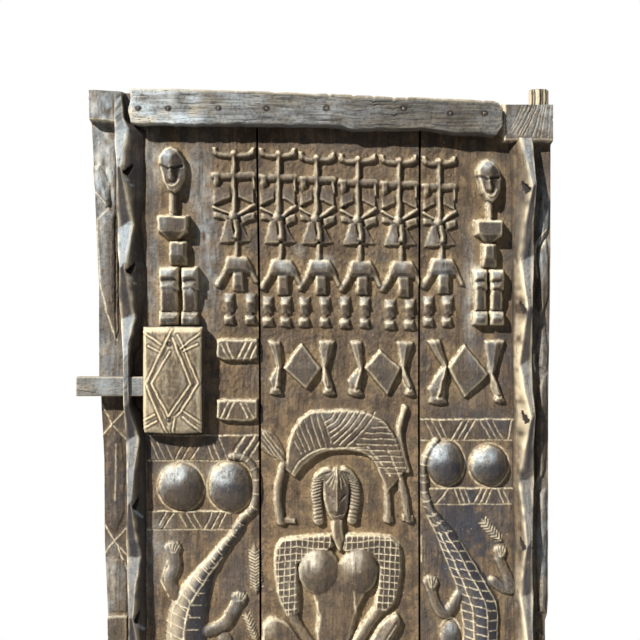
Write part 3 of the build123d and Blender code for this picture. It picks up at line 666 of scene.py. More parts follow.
def drum(top, waist, bottom):
    """Two wedges from a wide end to the waist; each end is (left, right, row) and the waist (column, row)."""
    (top_left, top_right, top_row), (x, y), (low_left, low_right, low_row) = top, waist, bottom
    middle = (low_left + low_right) / 2
    hip([(top_left, top_row), (top_right, top_row), (x + 2.8, y + 1), (x - 2.8, y + 1)],
        [((top_left + top_right) / 2 + 1, top_row + 3), (x, y)], DRUM, 9, bank=1.5)
    foot_left, foot_right = (low_left, low_right - 2) if x > middle else (low_left + 2, low_right)
    hip(near(x, y, "-2.8,-1 2.8,-1") + near(foot_right, low_row, "-2,-8")
        + near(foot_left, low_row, "2,-8 -1,-16"),
        [(x, y), (middle, low_row - 9)], DRUM, 8, bank=1.6)
    hip([(foot_left + 2, low_row - 10), (foot_right - 3, low_row - 10), (foot_right, low_row - 2),
         (middle, low_row),
         (foot_left, low_row - 2)], [(middle - 1, low_row - 6), (middle + 2, low_row - 6)], DRUM, 7, bank=1.6)
    rib([(x, y), (x + 0.3 * (low_left - x), low_row - 16), (middle - 2, low_row - 7)], 1.2, 0.9, 0.7)


def lozenge(top, left, right, bottom):
    """A low pyramid whose upper half leans up and whose lower half falls away from a level crease."""
    outline = [left, top, right, bottom]
    middle_row = (left[1] + right[1]) / 2
    chip(outline, LOZENGE, bank=2.2, facets=[(0, middle_row, LOZENGE, 0, 0.22),
                                             (0, middle_row, LOZENGE, 0, -0.2)], gloss=0.25)


drum((267.5, 281, 340.6), (279.6, 367), (269.5, 285, 395.8))
lozenge((302, 342), (282.5, 368), (321.6, 368), (306, 389.5))
drum((318.4, 336, 340.6), (324.4, 367), (320.4, 336, 396))
drum((349.2, 362, 340.8), (361, 368.6), (347.4, 365.6, 396.8))
lozenge((380, 348.6), (363.4, 367.6), (401, 367.6), (387.4, 396))
drum((396.4, 414, 341), (402.6, 367.6), (402.6, 416, 396.6))
drum((425.2, 440, 339.8), (444.4, 366.4), (428, 449.4, 404.6))
lozenge((464, 343), (446, 367.4), (488.6, 374), (464.4, 399))
drum((483.2, 504.8, 339.8), (490.8, 374.4), (491.4, 505, 403.4))

block_left, block_right = 216.8, 258.4
for top, bottom in ((338.8, 360.4), (399, 421.2)):
    chip(near(block_left, top, "0,0") + near(block_right, top, "0,0")
         + near(block_right, bottom, "0,-3 -8,0") + near(block_left, bottom, "8,0 0,-3"), 14, bank=1.8,
         crown=1)
cuts("220.4,343,229,359 226,342,233,358 245.4,342,236.6,359 251.4,342,242.4,359.4 257,343,249,359.4")
cuts("228,402,220.4,417 234,402,226,418 240,402,247,416 245,402,253,417")
print("drums and lozenges carved")

# %% [markdown]
# ## Panels with bosses
# Under the row the ground is divided by lines into bands of slanting cuts, with pairs of large bosses
# between them. The bosses are polished by hands, so they carry the strongest gloss.

# %% Bands and bosses
BOSS = 29
PANEL_LEFT = 148
BAND_KNIFE = (2.2, 0.65, 0.85)  # depth in millimetres, width in squares, and how pale the lip is

for top, bottom, left, right in ((434, 460.6, PANEL_LEFT, 259), (510, 529.5, 147, 232),
                                 (418, 440, 420.6, 515), (487, 504, 426, 515)):
    chip(box_line(left, top, right, bottom), 2.6, bank=1.4)
    for row in (top + 0.6, bottom - 0.6):
        cut([(left, row), (right, row)], 0.8, 0.7, 0.9)
cuts("148.8,438.4,158.8,460 156.5,441.5,165.3,460 165.7,444.5,172.9,459.8 181.7,444.5,175.2,459 "
     "190,445.3,182,459.5 198.6,446.8,190,459.8 207.7,446,213,459 212.3,443,219.2,459.5 218,436,226.9,459.5",
     *BAND_KNIFE)
cuts("243,436,233,453 253.6,436,236.8,460.6 258.8,441,245,461", 2.2, 1.1, 0.85)
cuts("165.7,512.6,158.8,524 173.3,513.4,161.8,529 178.7,513.4,187,528 185.5,512.6,194.7,528 "
     "193.2,513.4,200.9,528 211.6,512.6,204.7,528 219.2,512.6,210.8,528 225.3,512.6,217.7,528", *BAND_KNIFE)
cuts("425,421,433.5,439 431,420,441.5,439 438,419.6,446.6,438.6 462,420,451,438.6 467.5,420,457.5,438.6 "
     "474,420,463.6,438.6 479.5,420,490,438.6 485.5,420,496,438.6 491.5,420,501.6,438.6 511,420,507,438",
     *BAND_KNIFE)
cuts("447,489,436,503 454,489,459,503 459,489,464,503 464,489,469,503 480,489,473.6,502 485.6,489,479,503 "
     "491,489,485,503 497,489,503,502 502,489,508,502", *BAND_KNIFE)

for column, row, radius_x, radius_y in path("181,486.6,22.2,23 230.3,485.9,21.8,25.2 444.7,462.5,18.5,22.7 "
                                            "488.6,465,18.8,20.3"):
    dome(column, row, radius_x, radius_y, BOSS, gloss=1.0, power=0.55)
    turns = np.linspace(0, 2 * np.pi, 40)
    rib([(column + (radius_x + 1.6) * math.cos(turn), row + (radius_y + 1.6) * math.sin(turn))
         for turn in turns], 0.8, 0.8, 0.6)
print("bosses: 4")

# %% [markdown]
# ## Crocodiles
# A crocodile is a band between two wandering lines: across it the height follows a rounded roof, with its
# crest along the spine. Rows of scales are pale raised lines, one set along the body and one across it.

# %% Crocodiles
CROCODILE = 19
left_croc_edges = path("""
    518,240,246 525,234,245 531.6,228.7,242 545,217,232 559,204.7,223.6 572,192.6,217 580.5,184.8,214.4
    594.6,174,210.8 608,169,209.4 626,165.7,207.6 640,164,206.4 680,162,208 720,163,208 760,168,200
    790,174,194 830,178,190 857,181,186
""")
right_croc_edges = path("""
    500,421,429 516,426.6,441 531,434,454 552,442.8,468.6 565,447.6,478 580.5,454,488.7 600,459.6,498
    618,461.6,500 639.5,462,499 680,460,497 720,458,498 760,462,490 800,466,484 830,470,482 857,474,479
""")


def crocodile(edges, crest_share, lit, dark):
    """The body's height is a roof whose crest lies at a share of its width, rounded by a power. Its left
    side, which faces the sun, gets a painted highlight, and its right side, turned from the sun, painted
    shade, by the amounts given; on the right crocodile that shade also stands for its own dark scales."""
    rows, lefts, rights = np.array(edges).T
    rim = [(min(lefts), rows[0]), (max(rights), rows[-1])]
    for face, place, x, y in patches(rim, 2):
        left = np.interp(y, rows, lefts)
        right = np.interp(y, rows, rights)
        share = unit((x - left) / np.maximum(right - left, 1))
        roof = np.where(share < crest_share, share / crest_share, (1 - share) / (1 - crest_share))
        swell = np.sin(np.pi * share) * 0.35 + roof * 0.65
        rise = CROCODILE * np.interp(right - left, (3, 34), (0.5, 1.15))
        inside = (y > rows[0]) & (y < rows[-1])
        stand(face, place, rise * swell ** 0.62 * inside)
        body = inside * (swell > 0.1) * (0.8 + 0.4 * face.skips[place])
        # painted highlight on the side that faces the sun
        face.cut[place] = np.maximum(face.cut[place], lit * body * ease((crest_share - share) / 0.3))
        # painted shade on the side turned from the sun
        face.shade[place] += dark * body * ease((share - 0.55 * crest_share) / 0.2)


crocodile(left_croc_edges, 0.52, 0.28, 0.7)
crocodile(right_croc_edges, 0.55, 0.0, 1.0)

for line in ("226,538 207,560 194.8,571.4 178.2,600.4 172.4,612 171.5,640 170.6,700",
             "223,556.4 198.9,588.8 190.6,604.5 186.5,622 184.8,640 184,700"):
    rib(curve(line, 20), 1.3, 0.8)


def scales(edges, first, last, step, from_share, to_share, slant):
    """Cross lines between two shares of the body's width, one for each step down the spine."""
    rows, lefts, rights = np.array(edges).T
    for row in np.arange(first, last, step):
        left, right = np.interp(row, rows, lefts), np.interp(row, rows, rights)
        start = (left + from_share * (right - left), row)
        end = (left + to_share * (right - left), row + slant * (to_share - from_share) * (right - left))
        rib([start, end], 1.2, 0.55, 0.85)


scales(left_croc_edges, 522, 600, 8.4, 0.04, 0.5, 0.9)
scales(left_croc_edges, 600, 850, 10, 0.02, 0.5, 0.35)
scales(left_croc_edges, 566, 850, 12.2, 0.56, 0.8, 0.1)
scales(left_croc_edges, 527, 596, 9.3, 0.24, 0.42, 0.9)

for line in ("427,516 434,530 443,551 448,564 454.6,580.5 460,600 462.4,618 463,640 461,700",
             "438,531 448,550 454,563 461,579 467,593 471,607 473,639.5 473,700",
             "445,532 457,550 468,572 475,583 482,597 486,611 486.6,639.5 486,700",
             "458.5,538 474.6,565 485,583 494,600 497,614 496.4,639.5 495,700"):
    rib(curve(line, 20), 1.4, 0.55, 0.9)
scales(right_croc_edges, 506, 850, 8.6, 0.04, 0.32, 0.25)
scales(right_croc_edges, 512, 850, 9.2, 0.36, 0.66, 0.2)
scales(right_croc_edges, 520, 850, 9.8, 0.68, 0.92, 0.15)

# tails: one curls round a boss and comes down between it and the seam, the other hugs a boss on its left
left_tail = curve("232,456 241,456.6 250,463 256,474 257,490 254,506 244,517 236,527", 26)
rail(left_tail, 8, 12, bank=2.4, crown=0.6)
right_tail = curve("436,440 429,450 423.6,466 423.4,480 425,494 432,514 440,530", 26)
rail(right_tail, 7.6, 13, bank=2.4, crown=0.6)
for tail, ticks in ((left_tail, 9), (right_tail, 10)):
    line = np.array(tail)
    for share in np.linspace(0.06, 0.94, ticks):
        spot = line[int(share * (len(line) - 1))]
        ahead = line[min(int(share * (len(line) - 1)) + 1, len(line) - 1)] - spot
        side = np.array([-ahead[1], ahead[0]]) / (np.hypot(*ahead) + 1e-6) * 4.2
        rib([tuple(spot - side), tuple(spot + side)], 0.9, 0.6, 0.75)


def limb(line, width):
    """A leg of the crocodile: a rounded bar along a bent line."""
    rail(curve(line, 14), width, 12, bank=2.2, crown=0.5)


def paw(column, row, width, height, turn=0):
    """A hand with four finger cuts fanned from the wrist."""
    outline = path("-0.3,1,0 -0.5,0.4,0 -0.4,0,2 -0.1,0,0 0.3,0,0 0.5,0.4,0 0.3,1,0")
    hip([(column + side * width, row + share * height + extra) for side, share, extra in outline],
        [(column, row + 0.4 * height), (column, row + height)], 13, 7, bank=1.6)
    for share in (-0.3, -0.08, 0.14, 0.34):
        cut([(column + share * width + turn, row + 1.5),
             (column + 0.35 * share * width, row + 0.62 * height)], 1.6, 0.6, 0.8)


limb("174,552 175,566 170,580 177,594 186,600", 13)
paw(173.5, 540.7, 19, 16)
rib("168,560 161,581 169,596", 2.0, 0.8, 0.8)
limb("240,598 232,612 224,624 208,630", 12)
paw(239.6, 590.4, 17, 14, 1)
limb("184,740 156,756 150,780", 12)
limb("206,740 226,752 232,778", 12)
paw(150, 776, 17, 15)
paw(233, 774, 17, 15)
limb("431,588 437,606 445,613 452,606 459,594", 10.5)
paw(430.6, 574.6, 16, 17)
limb("499,558 506,574 511,588 502,587 492,580", 10.5)
paw(499.6, 544, 15, 16)
dome(450, 637, 10.6, 17, 15)
rib(curve("440,626 446,618.6 454,619 460,628", 10), 1.5, 0.8)
limb("462,740 444,756 434,784", 11)
limb("496,740 506,756 508,784", 11)
paw(434, 780, 16, 15)
paw(508, 780, 14, 15)


def leaf_form(start, end, width, ticks, rise=9):
    """A pointed leaf with slanting cuts on both sides of its rib."""
    a, b = np.array(start, float), np.array(end, float)
    side = np.array([-(b - a)[1], (b - a)[0]]) / np.hypot(*(b - a)) * width / 2

    def at(share, aside=0):
        """A place on the leaf, by its share of the length and of half the width."""
        return tuple(a + (b - a) * share + aside * side)

    hip([at(0), at(0.25, 1), at(0.7, 1), at(1), at(0.7, -1), at(0.25, -1)], [at(0.15), at(0.85)], rise, 4,
        bank=1.4)
    back = (b - a) / ticks * 0.7
    for share in np.linspace(0.16, 0.86, ticks):
        for aside in (0.9, -0.9):
            cut([at(share), tuple(np.subtract(at(share, aside), back))], 1.1, 0.6, 0.9)


leaf_form((480, 518), (503, 543), 10.4, 8)
leaf_form((254, 543), (257, 596), 13, 13)
leaf_form((245, 611), (258, 643), 9, 8, 10)
rib(curve("421.6,536 421.4,549 422,562", 8), 1.6, 0.7, 0.9)
dome(225, 640, 7.6, 9, 10)
cut("145.6,462 146.2,645", 1.6, 0.8, 0.4)
print("crocodiles carved")

# %% [markdown]
# ## The antelope and the woman
# On the middle plank an antelope arches over a squatting woman. Its coat is hatching that changes direction:
# steep cuts on the neck, curved ones over the back and level ones on the haunch. The woman's arms are
# covered with a net of raised lines, her hair is grooved, and braids hang down both sides of her face.

# %% Antelope
ANTELOPE = 14
back_line = curve("285.5,470 287.5,445.5 291.9,430.4 298.4,419.5 307,412.5 315.7,409.8 333,409 350,409.2 "
                  "366.7,410.8 376.4,415.2 385,420.6 394.9,434.7 400.3,448.8 406.8,469.4", 40)
belly_line = curve("385,497.6 383,484.6 377.5,471.5 368.8,457.5 352.6,451.6 330.9,451.4 315.7,456.4 "
                   "302.7,468.4 295,478", 26)
chip(back_line + belly_line, ANTELOPE, bank=2.6, crown=3)
hip("260.4,428 272.3,430.4 280,440 285.6,452 286,466 276,458 263,451 260,448",
    "264,434 283,460", 12, 6, bank=1.5)
cuts("262,432,284,461 264,429.6,285.4,456 261.4,437,281,462 261,443,276,459", 1.0, 0.6, 0.7)
rail("284,464 279,482 277.6,500 281,521", 8.2, 14, bank=2.0, crown=0.5)
chip("277,517 296,517.4 296.4,523 278,524", 9, bank=1.6)
rail("386,474 387.4,496 388,520", 7.4, 13, bank=1.8, crown=0.5)
rail("399,470 404,494 408,519", 7.6, 13, bank=1.8, crown=0.5)
chip("384,515 393,515 393.4,522 383,522", 9, bank=1.4)
chip("401,514 413.6,514 414,521 402,521", 9, bank=1.4)
rail(curve("405,408 400.6,421.7 399,432.5 401,445.5 407,470", 14), 6.4, 14, bank=2.0, crown=0.5)
cuts("294,440,300.5,452 296,430,305,450 298.4,422.8,309.2,447.7 303.8,419.5,314.6,447.7 "
     "310.3,416.3,320,447.7 315.7,414,325.5,446.6 321.1,413,330.9,441.2", 2.4, 0.6, 0.8)
back_cuts = path("334,324.4,420.6 340.6,325.5,427 347.2,329.8,431.4 353,330.9,436.9 359.6,333,442.3 "
                 "366.7,338.5,443.4 374.3,345,446.6")
for top_x, end_x, end_y in back_cuts:
    cut(curve([(top_x, 411.6), (top_x - 0.35 * (top_x - end_x), 414 + 0.38 * (end_y - 412)), (end_x, end_y)],
              8), 2.4, 0.6, 0.8)
for step, row in enumerate(np.arange(420, 473, 5.7)):
    left = np.interp(row, (420, 430, 446, 474), (378, 366, 353, 389))
    right = np.interp(row, (420, 434, 448, 474), (383, 393, 399, 406))
    cut([(left, row), (right, row + 0.8)], 2.2, 0.6, 0.7)
cut("366.7,445.5 389.4,473.7", 1.5, 0.8)
cut("386.2,447.7 399.2,478", 1.5, 0.8)
cut(curve("291,473 298.4,460.7 309.2,452 320,447.9 336.3,446.8 363.4,446.8", 16), 1.3, 0.8, 0.8)
print("antelope carved")

# %% The woman
WOMAN = 17
head_line = curve("336.9,466 345,470.5 349.3,478 350.4,492 348.2,508.4 340.6,520.3 330.9,520.3 326.6,510.6 "
                  "323.3,497.6 322.2,484.6 324.4,475.9 330.9,469.4 336.9,466", 34)[:-1]
hip(head_line, "336.9,474 336.9,508", WOMAN + 9, 12, bank=2.2)
rail("336.9,480 336.7,509", 2.6, 2.6, bank=2.4, over=True)
for share in (-3, -2, -1, 1, 2, 3):
    cut([(336.9 + 0.8 * share, 467.6 + 0.6 * abs(share)), (336.9 + 3.8 * share, 490 - 3 * abs(share))], 2.6,
        0.6, 0.6)
cut("328.7,494.3 333,498.6", 2.5, 0.8, 0.3)
cut("345.6,494.3 341,498.6", 2.5, 0.8, 0.3)
cut("329.8,511 335.2,515 343.4,511.6", 2.0, 0.7, 0.3)
braids = (
    curve("328,471 319.6,477 317,486 316.8,497 318,508 318.6,520", 18),
    curve("345,471 352.6,478 355.2,490 354.6,504 351.6,519", 18))
for braid, turn in zip(braids, (-1, 1)):
    rail(braid, 10, 15, bank=2.0, crown=0.35)
    for column, row in braid[1:-1]:
        cut([(column - 4.2, row - 1.0 * turn), (column + 4.2, row + 1.0 * turn)], 2.6, 0.65, 0.45)
chip("331,518 342.8,518 343.4,530 345,538 339.6,553 331.6,538", 15, bank=2, crown=2)

# the outlines of the left and of the right arm
arm_outlines = (
    path("276,545.5 282,538 300.5,535.4 318,533.8 331,533.4 333,545 322,556 306,556 297,564 298.4,576 "
         "298.4,598 297.6,613.8 287.5,614.6 281,604 277.2,592 275,573.7 274.5,556.4"),
    path("345,533.4 362,533.2 379.7,533.6 390.5,535.8 399.2,543.4 401.4,554.2 401.4,569.4 398,592 393.8,603 "
         "385,611 373,608.6 377,590 379,565 372,552 352,556 342,548"))
for outline in arm_outlines:
    chip(outline, 15, bank=2.0, crown=1.5)
    middle_x = np.mean([point[0] for point in outline])
    for face, place, x, y in patches(outline, 0):
        inward = depth_inside(x, y, outline)
        lean = 0.12 * (y - 533)
        net = np.maximum(np.cos((x + lean * 0.3) * 2 * np.pi / 5.5),
                         np.cos((y - 0.1 * abs(x - middle_x)) * 2 * np.pi / 6.9))
        lines = unit((net - 0.72) / 0.28) ** 1.4 * ease(inward / 2.5)
        face.scored[place] += 1.7 * lines - 1.2 * ease(inward / 2.5)
        face.cut[place] = np.maximum(face.cut[place], 0.8 * lines * face.skips[place])
    closed = outline + [outline[0]]
    rib(closed, 0.8, 0.8, 0.6)
for column, row, radius_x, radius_y in ((319, 569.4, 20.6, 24.4), (359.6, 568.5, 18.4, 24)):
    dome(column, row, radius_x, radius_y, 21, foot=8, gloss=0.8, power=0.55)
chip("306,560 372,560 368,588 355.8,614 349.3,642 350,700 322,700 315.7,630 317.9,615 312,592",
     13, bank=3, crown=4)
rib("318,600 316,630", 1.6, 1.0, 0.6)
rib("354,590 356,613 350,640", 1.6, 1.0, 0.6)
rail("291,612 300,628 311,644", 10.4, 17, bank=2.4, crown=0.5)
rail("379,608 366,626 354,646", 11.4, 17, bank=2.4, crown=0.5)
left_knee = curve("262,640 263,624.7 268,618 276.7,616 287.5,620.3 296.2,630 304,642", 20)
hip(left_knee + path("312,664 300,700 268,700 261,664"), "272,624 286,650 294,690", 22, 12, bank=3, gloss=0.4)
right_knee = curve("366.7,642 377.5,624.7 387.3,615 395.9,611.7 400.8,617 400.3,625.8 391,642", 20)
hip(right_knee + path("398,664 390,700 352,700 356,664"), "394,618 378,646 368,690", 22, 12, bank=3,
    gloss=0.3)
rib("395.9,623.6 384,642", 1.6, 0.9, 0.8)
for knee_x, foot_x in ((280, 286), (384, 376)):
    rail([(knee_x, 640), (foot_x - 4, 700), (foot_x, 752)], 20, 19, bank=4, crown=0.5)
    chip([(foot_x - 13, 748), (foot_x + 13, 748), (foot_x + 12, 760), (foot_x - 14, 760)], 13, bank=2)
lizard = path("331,776 342,788 339,802 348,822 344,852 334,884 328,884 318,852 314,822 323,802 320,788")
hip(lizard, "331,784 331,870", 16, 7, bank=2.5)
for row in np.arange(800, 872, 7):
    cut([(318, row), (331, row + 4), (344, row)], 1.2, 0.8, 0.6)
print("woman carved")

# %% [markdown]
# ## Outer strips and end blocks
# Outside each ridge a narrow strip carries long blades and crossings, only a few millimetres high. At the
# corners the wood is left thick as a block. The pivot corner's block is split by old cracks.

# %% Strips and blocks
BLADE = 9
chip("90,90 124.4,90 124.4,126.4 90,122.4", 25, bank=1.3, gloss=0.4,
     facets=[(99, 107, 25, 0.55, 0.1), (101, 107, 24.5, -0.35, 0.22)])
chip("112,896 145,896 145,934 112,934", 25, bank=1.6, facets=[(128, 907, 25, -0.4, 0.1)])
chip("500.8,100 551.6,100 551.6,144 500.8,144", 24, bank=1.6)
chip("500.8,897 546,897 546,934 500.8,934", 24, bank=1.6)
for start, end, depth in path("536,522,5 532,516,4 528,512,2.5 540,530,4 544,538,3 548,545,3 524,509,1.5 "
                              "534,519,2.5 542,534,2.5 521,507,1.5"):
    cut(curve([(start, 104), (0.6 * start + 0.4 * end, 118), (end, 138 - 0.2 * (540 - start))], 9),
        0.42 * depth, 0.6, 0.35)
hip("92,166 100.7,165 106,174 110.4,185 111,206 105,208 97,194 93,182",
    "98,170 107,200", BLADE + 2, 3, bank=1.4)
hip("96.6,221 103,214 109.6,208 117,214 118.4,250 119,330 116,341 110,322 101,285 98,255",
    "112,216 112,300", BLADE, 3.5, bank=1.5)
rib("96,193 109,208 96,221", 1.6, 0.8, 0.6)
cut("116.8,128 115.6,210 116.6,345", 3.5, 0.7, 0)
rib("97,222 100,284 109,320 117,340", 1.4, 0.9, 0.7)
for row, shift in ((424, 0), (541, 2)):
    middle = 112.5 + shift
    rib([(102 + shift, row - 20), (middle, row), (103 + shift, row + 12)], 2.0, 0.9, 0.8)
    rib([(126 + shift, row - 14), (middle, row), (126 + shift, row + 15)], 2.0, 0.9, 0.6)
hip("114,430 122,436 126,470 125,512 117,532 108,528 105.6,490 106,446", "115,440 116,520",
    BLADE - 4, 2, bank=3)
rib("116,444 116.6,470 115.6,500", 1.0, 0.8, 0.5)
rib(curve("118.6,545 121,556 128,569", 8), 1.8, 0.8, 0.7)
chip("106,556 124,560 127,572 127,612 108,612", 2.5, bank=2)
chip("107.6,614.5 128.4,614.5 129,720 109.6,720", BLADE, bank=1.2)
chip("110,730 130,730 131,884 111,884", BLADE, bank=1.6)
hinge_blades = (
    path("541,190 550,200 549,228 545,236 537,250 535.6,232 539,210"),
    path("546,236 549,262 548,300 540,318 534.6,300 537,278 535.4,254"),
    path("545,322 548.6,350 547,372 538,366 534.8,350 538,330"),
    path("541,374 547,374 547.4,430 545,470 536,484 534.4,440 536,396"),
    path("537,492 546.6,488 547,560 546,612 538,612 535,560"))
for outline in hinge_blades:
    x_mean, rows = np.mean([p[0] for p in outline]), [p[1] for p in outline]
    hip(outline, [(x_mean, min(rows) + 8), (x_mean, max(rows) - 8)], BLADE, 3, bank=1.4)
rib(curve("546,230 538,240 535,251 537,278", 10), 1.6, 0.8, 0.7)
rib("533.4,355 534.6,371", 2.0, 0.9, 1.0)
for top in (630, 730, 830):
    hip([(538, top), (545, top + 6), (545, top + 80), (538, top + 92), (533, top + 50)],
        [(539, top + 14), (539, top + 76)], BLADE, 3, bank=1.6)
print("strips and blocks carved")

# %% [markdown]
# ## The ground and the wear
# The ground between the figures was cleared with an adze, stroke by stroke along the grain, and is never
# flat. The masks for the materials come out of the finished heights: what stands above its smoothed
# surroundings is worn and pale, and what lies below them is dark with painted shade. Slopes that face the
# sun, up and to the left, carry painted highlights, and the tables below add painted highlights and
# painted shade in the places they list.

# %% Ground and masks
for seed, face in enumerate(faces):
    ground = np.clip(1 - face.h / 4, 0.25, 1)
    face.h += ground * (0.9 * face.cloud((42, 14), seed) + 0.5 * face.cloud((12, 5), seed + 10))
    face.h += 0.22 * face.cloud((5, 2.4), seed + 20)
    among = ease((face.x - 206) / 14) * ease((462 - face.x) / 12)
    among = among * ease((face.y - 140) / 12) * ease((402 - face.y) / 12)
    pecked = 0.9 * face.cloud((4, 3), seed + 160) + 0.5 * face.cloud((2, 2), seed + 170)
    face.h += among * (face.h < 3) * pecked
    face.h = 0.6 * face.h + 0.4 * blurred(face.h, 1) + face.scored
    face.h += 0.22 * face.cloud((2.6, 1.5), seed + 25) + 0.16 * face.cloud((9, 1.4), seed + 26)
    face.worn = 0.6 * unit((face.h - blurred(face.h, 2) - 0.4) / 3.6)
    # painted shade: dark in the knife cuts and at the foot of every step
    face.hollow = np.clip(-face.scored / 2.6, 0, 0.8) + 0.4 * unit((blurred(face.h, 2) - face.h - 1) / 4)
    face.dust = 0.75 * unit((blurred(face.h, 9) - face.h - 0.8) / 5.5)
    face.gloss = np.maximum(face.gloss, 0.55 * ease((face.h - 3) / 9))
    slope_down = np.gradient(blurred(face.h, 1), axis=0) / ROW_STEP
    slope_across = np.gradient(blurred(face.h, 1), axis=1) / np.gradient(face.x, axis=1)
    # how far a slope faces the sun, up and to the left; it places painted highlights
    face.facing = np.clip((slope_down + slope_across) / 5, -1, 1)
    # painted highlight on polished places that face the sun
    face.silver += 0.5 * face.gloss * ease(face.facing * 1.4) * (0.6 + 0.4 * face.cloud((14, 10), seed + 30))
    brown = np.interp(face.x, (255, 262, 414, 422), (0.2, 1, 1, 0)) * np.interp(face.y, (390, 430), (0.25, 1))
    face.warm = unit(brown * (0.9 + 0.3 * face.cloud((30, 16), seed + 35)))
print("height of the carving, mm:", round(max(face.h.max() for face in faces), 1))

# column, row, radius across, radius down, amount: sun-bleached places together with painted highlights on
# the bosses, breasts, heads and leg tops; and places dark with handling together with painted shade under
# the bosses, on sides turned from the sun, beside the left block and under the bolt
BLEACHED_AND_HIGHLIT = path("""
    174,473,12,8,1.3 222,473,12,9,1.3 439,452,10,8,1.2 484,455,10,7,1.1 311,559,10,10,1.0 353,558,10,10,0.9
    270,624,6,8,0.5 236,605,5,8,0.4 168,272,8,6,0.7 190,274,8,6,0.7 168,288,7,5,0.5 190,290,7,5,0.5
    176,252,6,8,0.6 168,158,6,8,0.5 103,150,16,40,0.72 106,190,16,40,0.7 110,360,14,34,0.5 112,580,14,36,0.5
    108,108,20,20,0.8 152,160,12,34,0.45 198,180,14,36,0.35 208,262,12,60,0.45 203,215,10,26,0.3
    152,280,8,50,0.35 288,266,8,8,0.6 326,262,8,7,0.6 300,250,5,6,0.4 160,548,16,30,0.35 188,470,12,8,0.5
    440,268,8,12,0.5 346,420,30,8,0.3 470,300,7,60,0.4 290,575,10,30,0.3 545,108,8,16,0.4 543,230,8,50,0.6
    543,350,8,40,0.35 543,540,8,60,0.6 452,626,5,6,0.9 512,125,10,16,0.3 536,125,18,22,0.4 102,275,6,60,0.4
    167,154,5,7,0.8 484,166,5,6,0.9 492,163,4,4,0.6 164,224,5,6,0.4 478,270,5,4,0.8 494,270,5,4,0.6
    478,316,6,4,0.6 495,316,6,4,0.6 168,320,7,4,0.5 190,320,7,4,0.5
""")
DARKENED_AND_SHADED = path("""
    182,487,20,6,1.2 232,486,18,5,1.2 446,465,15,6,1.2 492,467,14,5,1.0 326,582,15,10,0.9 366,578,12,13,0.8
    346,495,7,20,0.6 346,428,60,22,1.1 286,575,12,42,0.9 390,572,14,42,0.9 300,544,22,8,0.6 372,544,24,8,0.6
    480,600,20,60,0.7 450,550,14,30,0.7 202,612,10,60,0.8 174,170,14,22,0.35 300,200,90,34,0.3
    336,490,14,30,0.5 152,200,5,60,0.5 360,372,130,30,0.25 450,642,10,12,1.2 503,582,12,8,1.0
    446,606,12,8,0.9 172,545,10,8,0.7 240,596,10,8,0.6 470,520,40,34,1.5 455,560,22,40,1.0 470,470,44,24,0.8
    480,425,40,14,0.9 495,360,20,40,0.8 116,480,16,50,0.7 139,399,7,5,1.6 128.5,110,5,24,1.6
    160,450,16,14,0.7 235,448,30,12,0.5 538,300,5,180,0.3 395,470,22,40,0.35 500,250,20,80,0.3
    230,480,26,30,0.3 180,163,5,13,0.7 494,172,5,11,0.6 183,225,6,10,0.4 497,230,5,10,0.4 167,302,5,7,0.4
    189,302,5,7,0.4 102,188,6,19,0.6 110,275,6,55,0.12 316,496,6,26,0.7 354,496,6,26,0.7 380,440,20,34,0.5
    479,300,5,8,0.5 496,300,5,8,0.5 104,270,10,50,0.35 115,490,12,50,0.4 300,600,60,40,0.2
    240,560,20,50,0.25 150,470,8,60,0.3
""")
# painted highlights on each dancer's shoulders, mask, left skirt panel and the tops of legs and feet; painted
# shade on the right skirt panel, under the shoulders, beside the belly and low on the legs
for axis, left, right, upper, lower, mask, foot, shoulders, leg_top, foot_top, feet in DANCERS:
    BLEACHED_AND_HIGHLIT += ((axis + 1, shoulders + 5, 6, 4, 0.6), (axis - 8, foot - 8, 4, 7, 0.35),
                 (axis + 3, mask - 1, 3, 4, 0.4),
                 *[(middle - 2, leg_top + 5, 3.5, 4, 0.6) for middle in feet],
                 *[(middle - 1, foot_top + 3, 4, 3, 0.5) for middle in feet])
    DARKENED_AND_SHADED += ((axis + 9, foot - 10, 4, 8, 0.4), (axis + 4, shoulders + 14, 9, 3, 0.5),
                 (axis + 7, leg_top - 8, 4, 7, 0.3),
                 *[(middle + 2, foot_top - 8, 3.5, 6, 0.5) for middle in feet])
for seed, face in enumerate(faces):
    broken = 0.55 + 0.45 * face.cloud((9, 6), seed + 140) + 0.25 * face.cloud((22, 2), seed + 150)
    for table, mask in ((BLEACHED_AND_HIGHLIT, face.silver), (DARKENED_AND_SHADED, face.shade)):
        for column, row, radius_x, radius_y, amount in table:
            inside = np.exp(-(((face.x - column) / radius_x) ** 2 + ((face.y - row) / radius_y) ** 2) ** 1.5)
            mask += amount * inside * broken
    np.clip(face.silver, 0, 1, face.silver)
    np.clip(face.shade, 0, 1, face.shade)
    face.gloss *= 1 - 0.65 * face.warm * face.shade
    # pale cream laid where the bleaching and the painted highlights are, away from polished parts
    cream = unit(0.2 + face.cloud((17, 9), seed + 180) + 0.4 * face.cloud((6, 2), seed + 190))
    face.cut = np.maximum(face.cut, 0.45 * cream * face.silver * (1 - face.gloss))

# %% [markdown]
# ## The planks as solids
# Each plank is cut in two at a row where its face is plain, which keeps every piece within a size that
# printers and engines take. The saw-cut edges lean a little, so that the gaps between planks close at the
# back and stay dark.

# %% Plank pieces
# the masks that the materials read; besides wear, dust, stains and tone they carry painted shade and painted
# highlights
MASKS = ("worn", "hollow", "dust", "cut", "gloss", "facing", "silver", "shade", "warm")


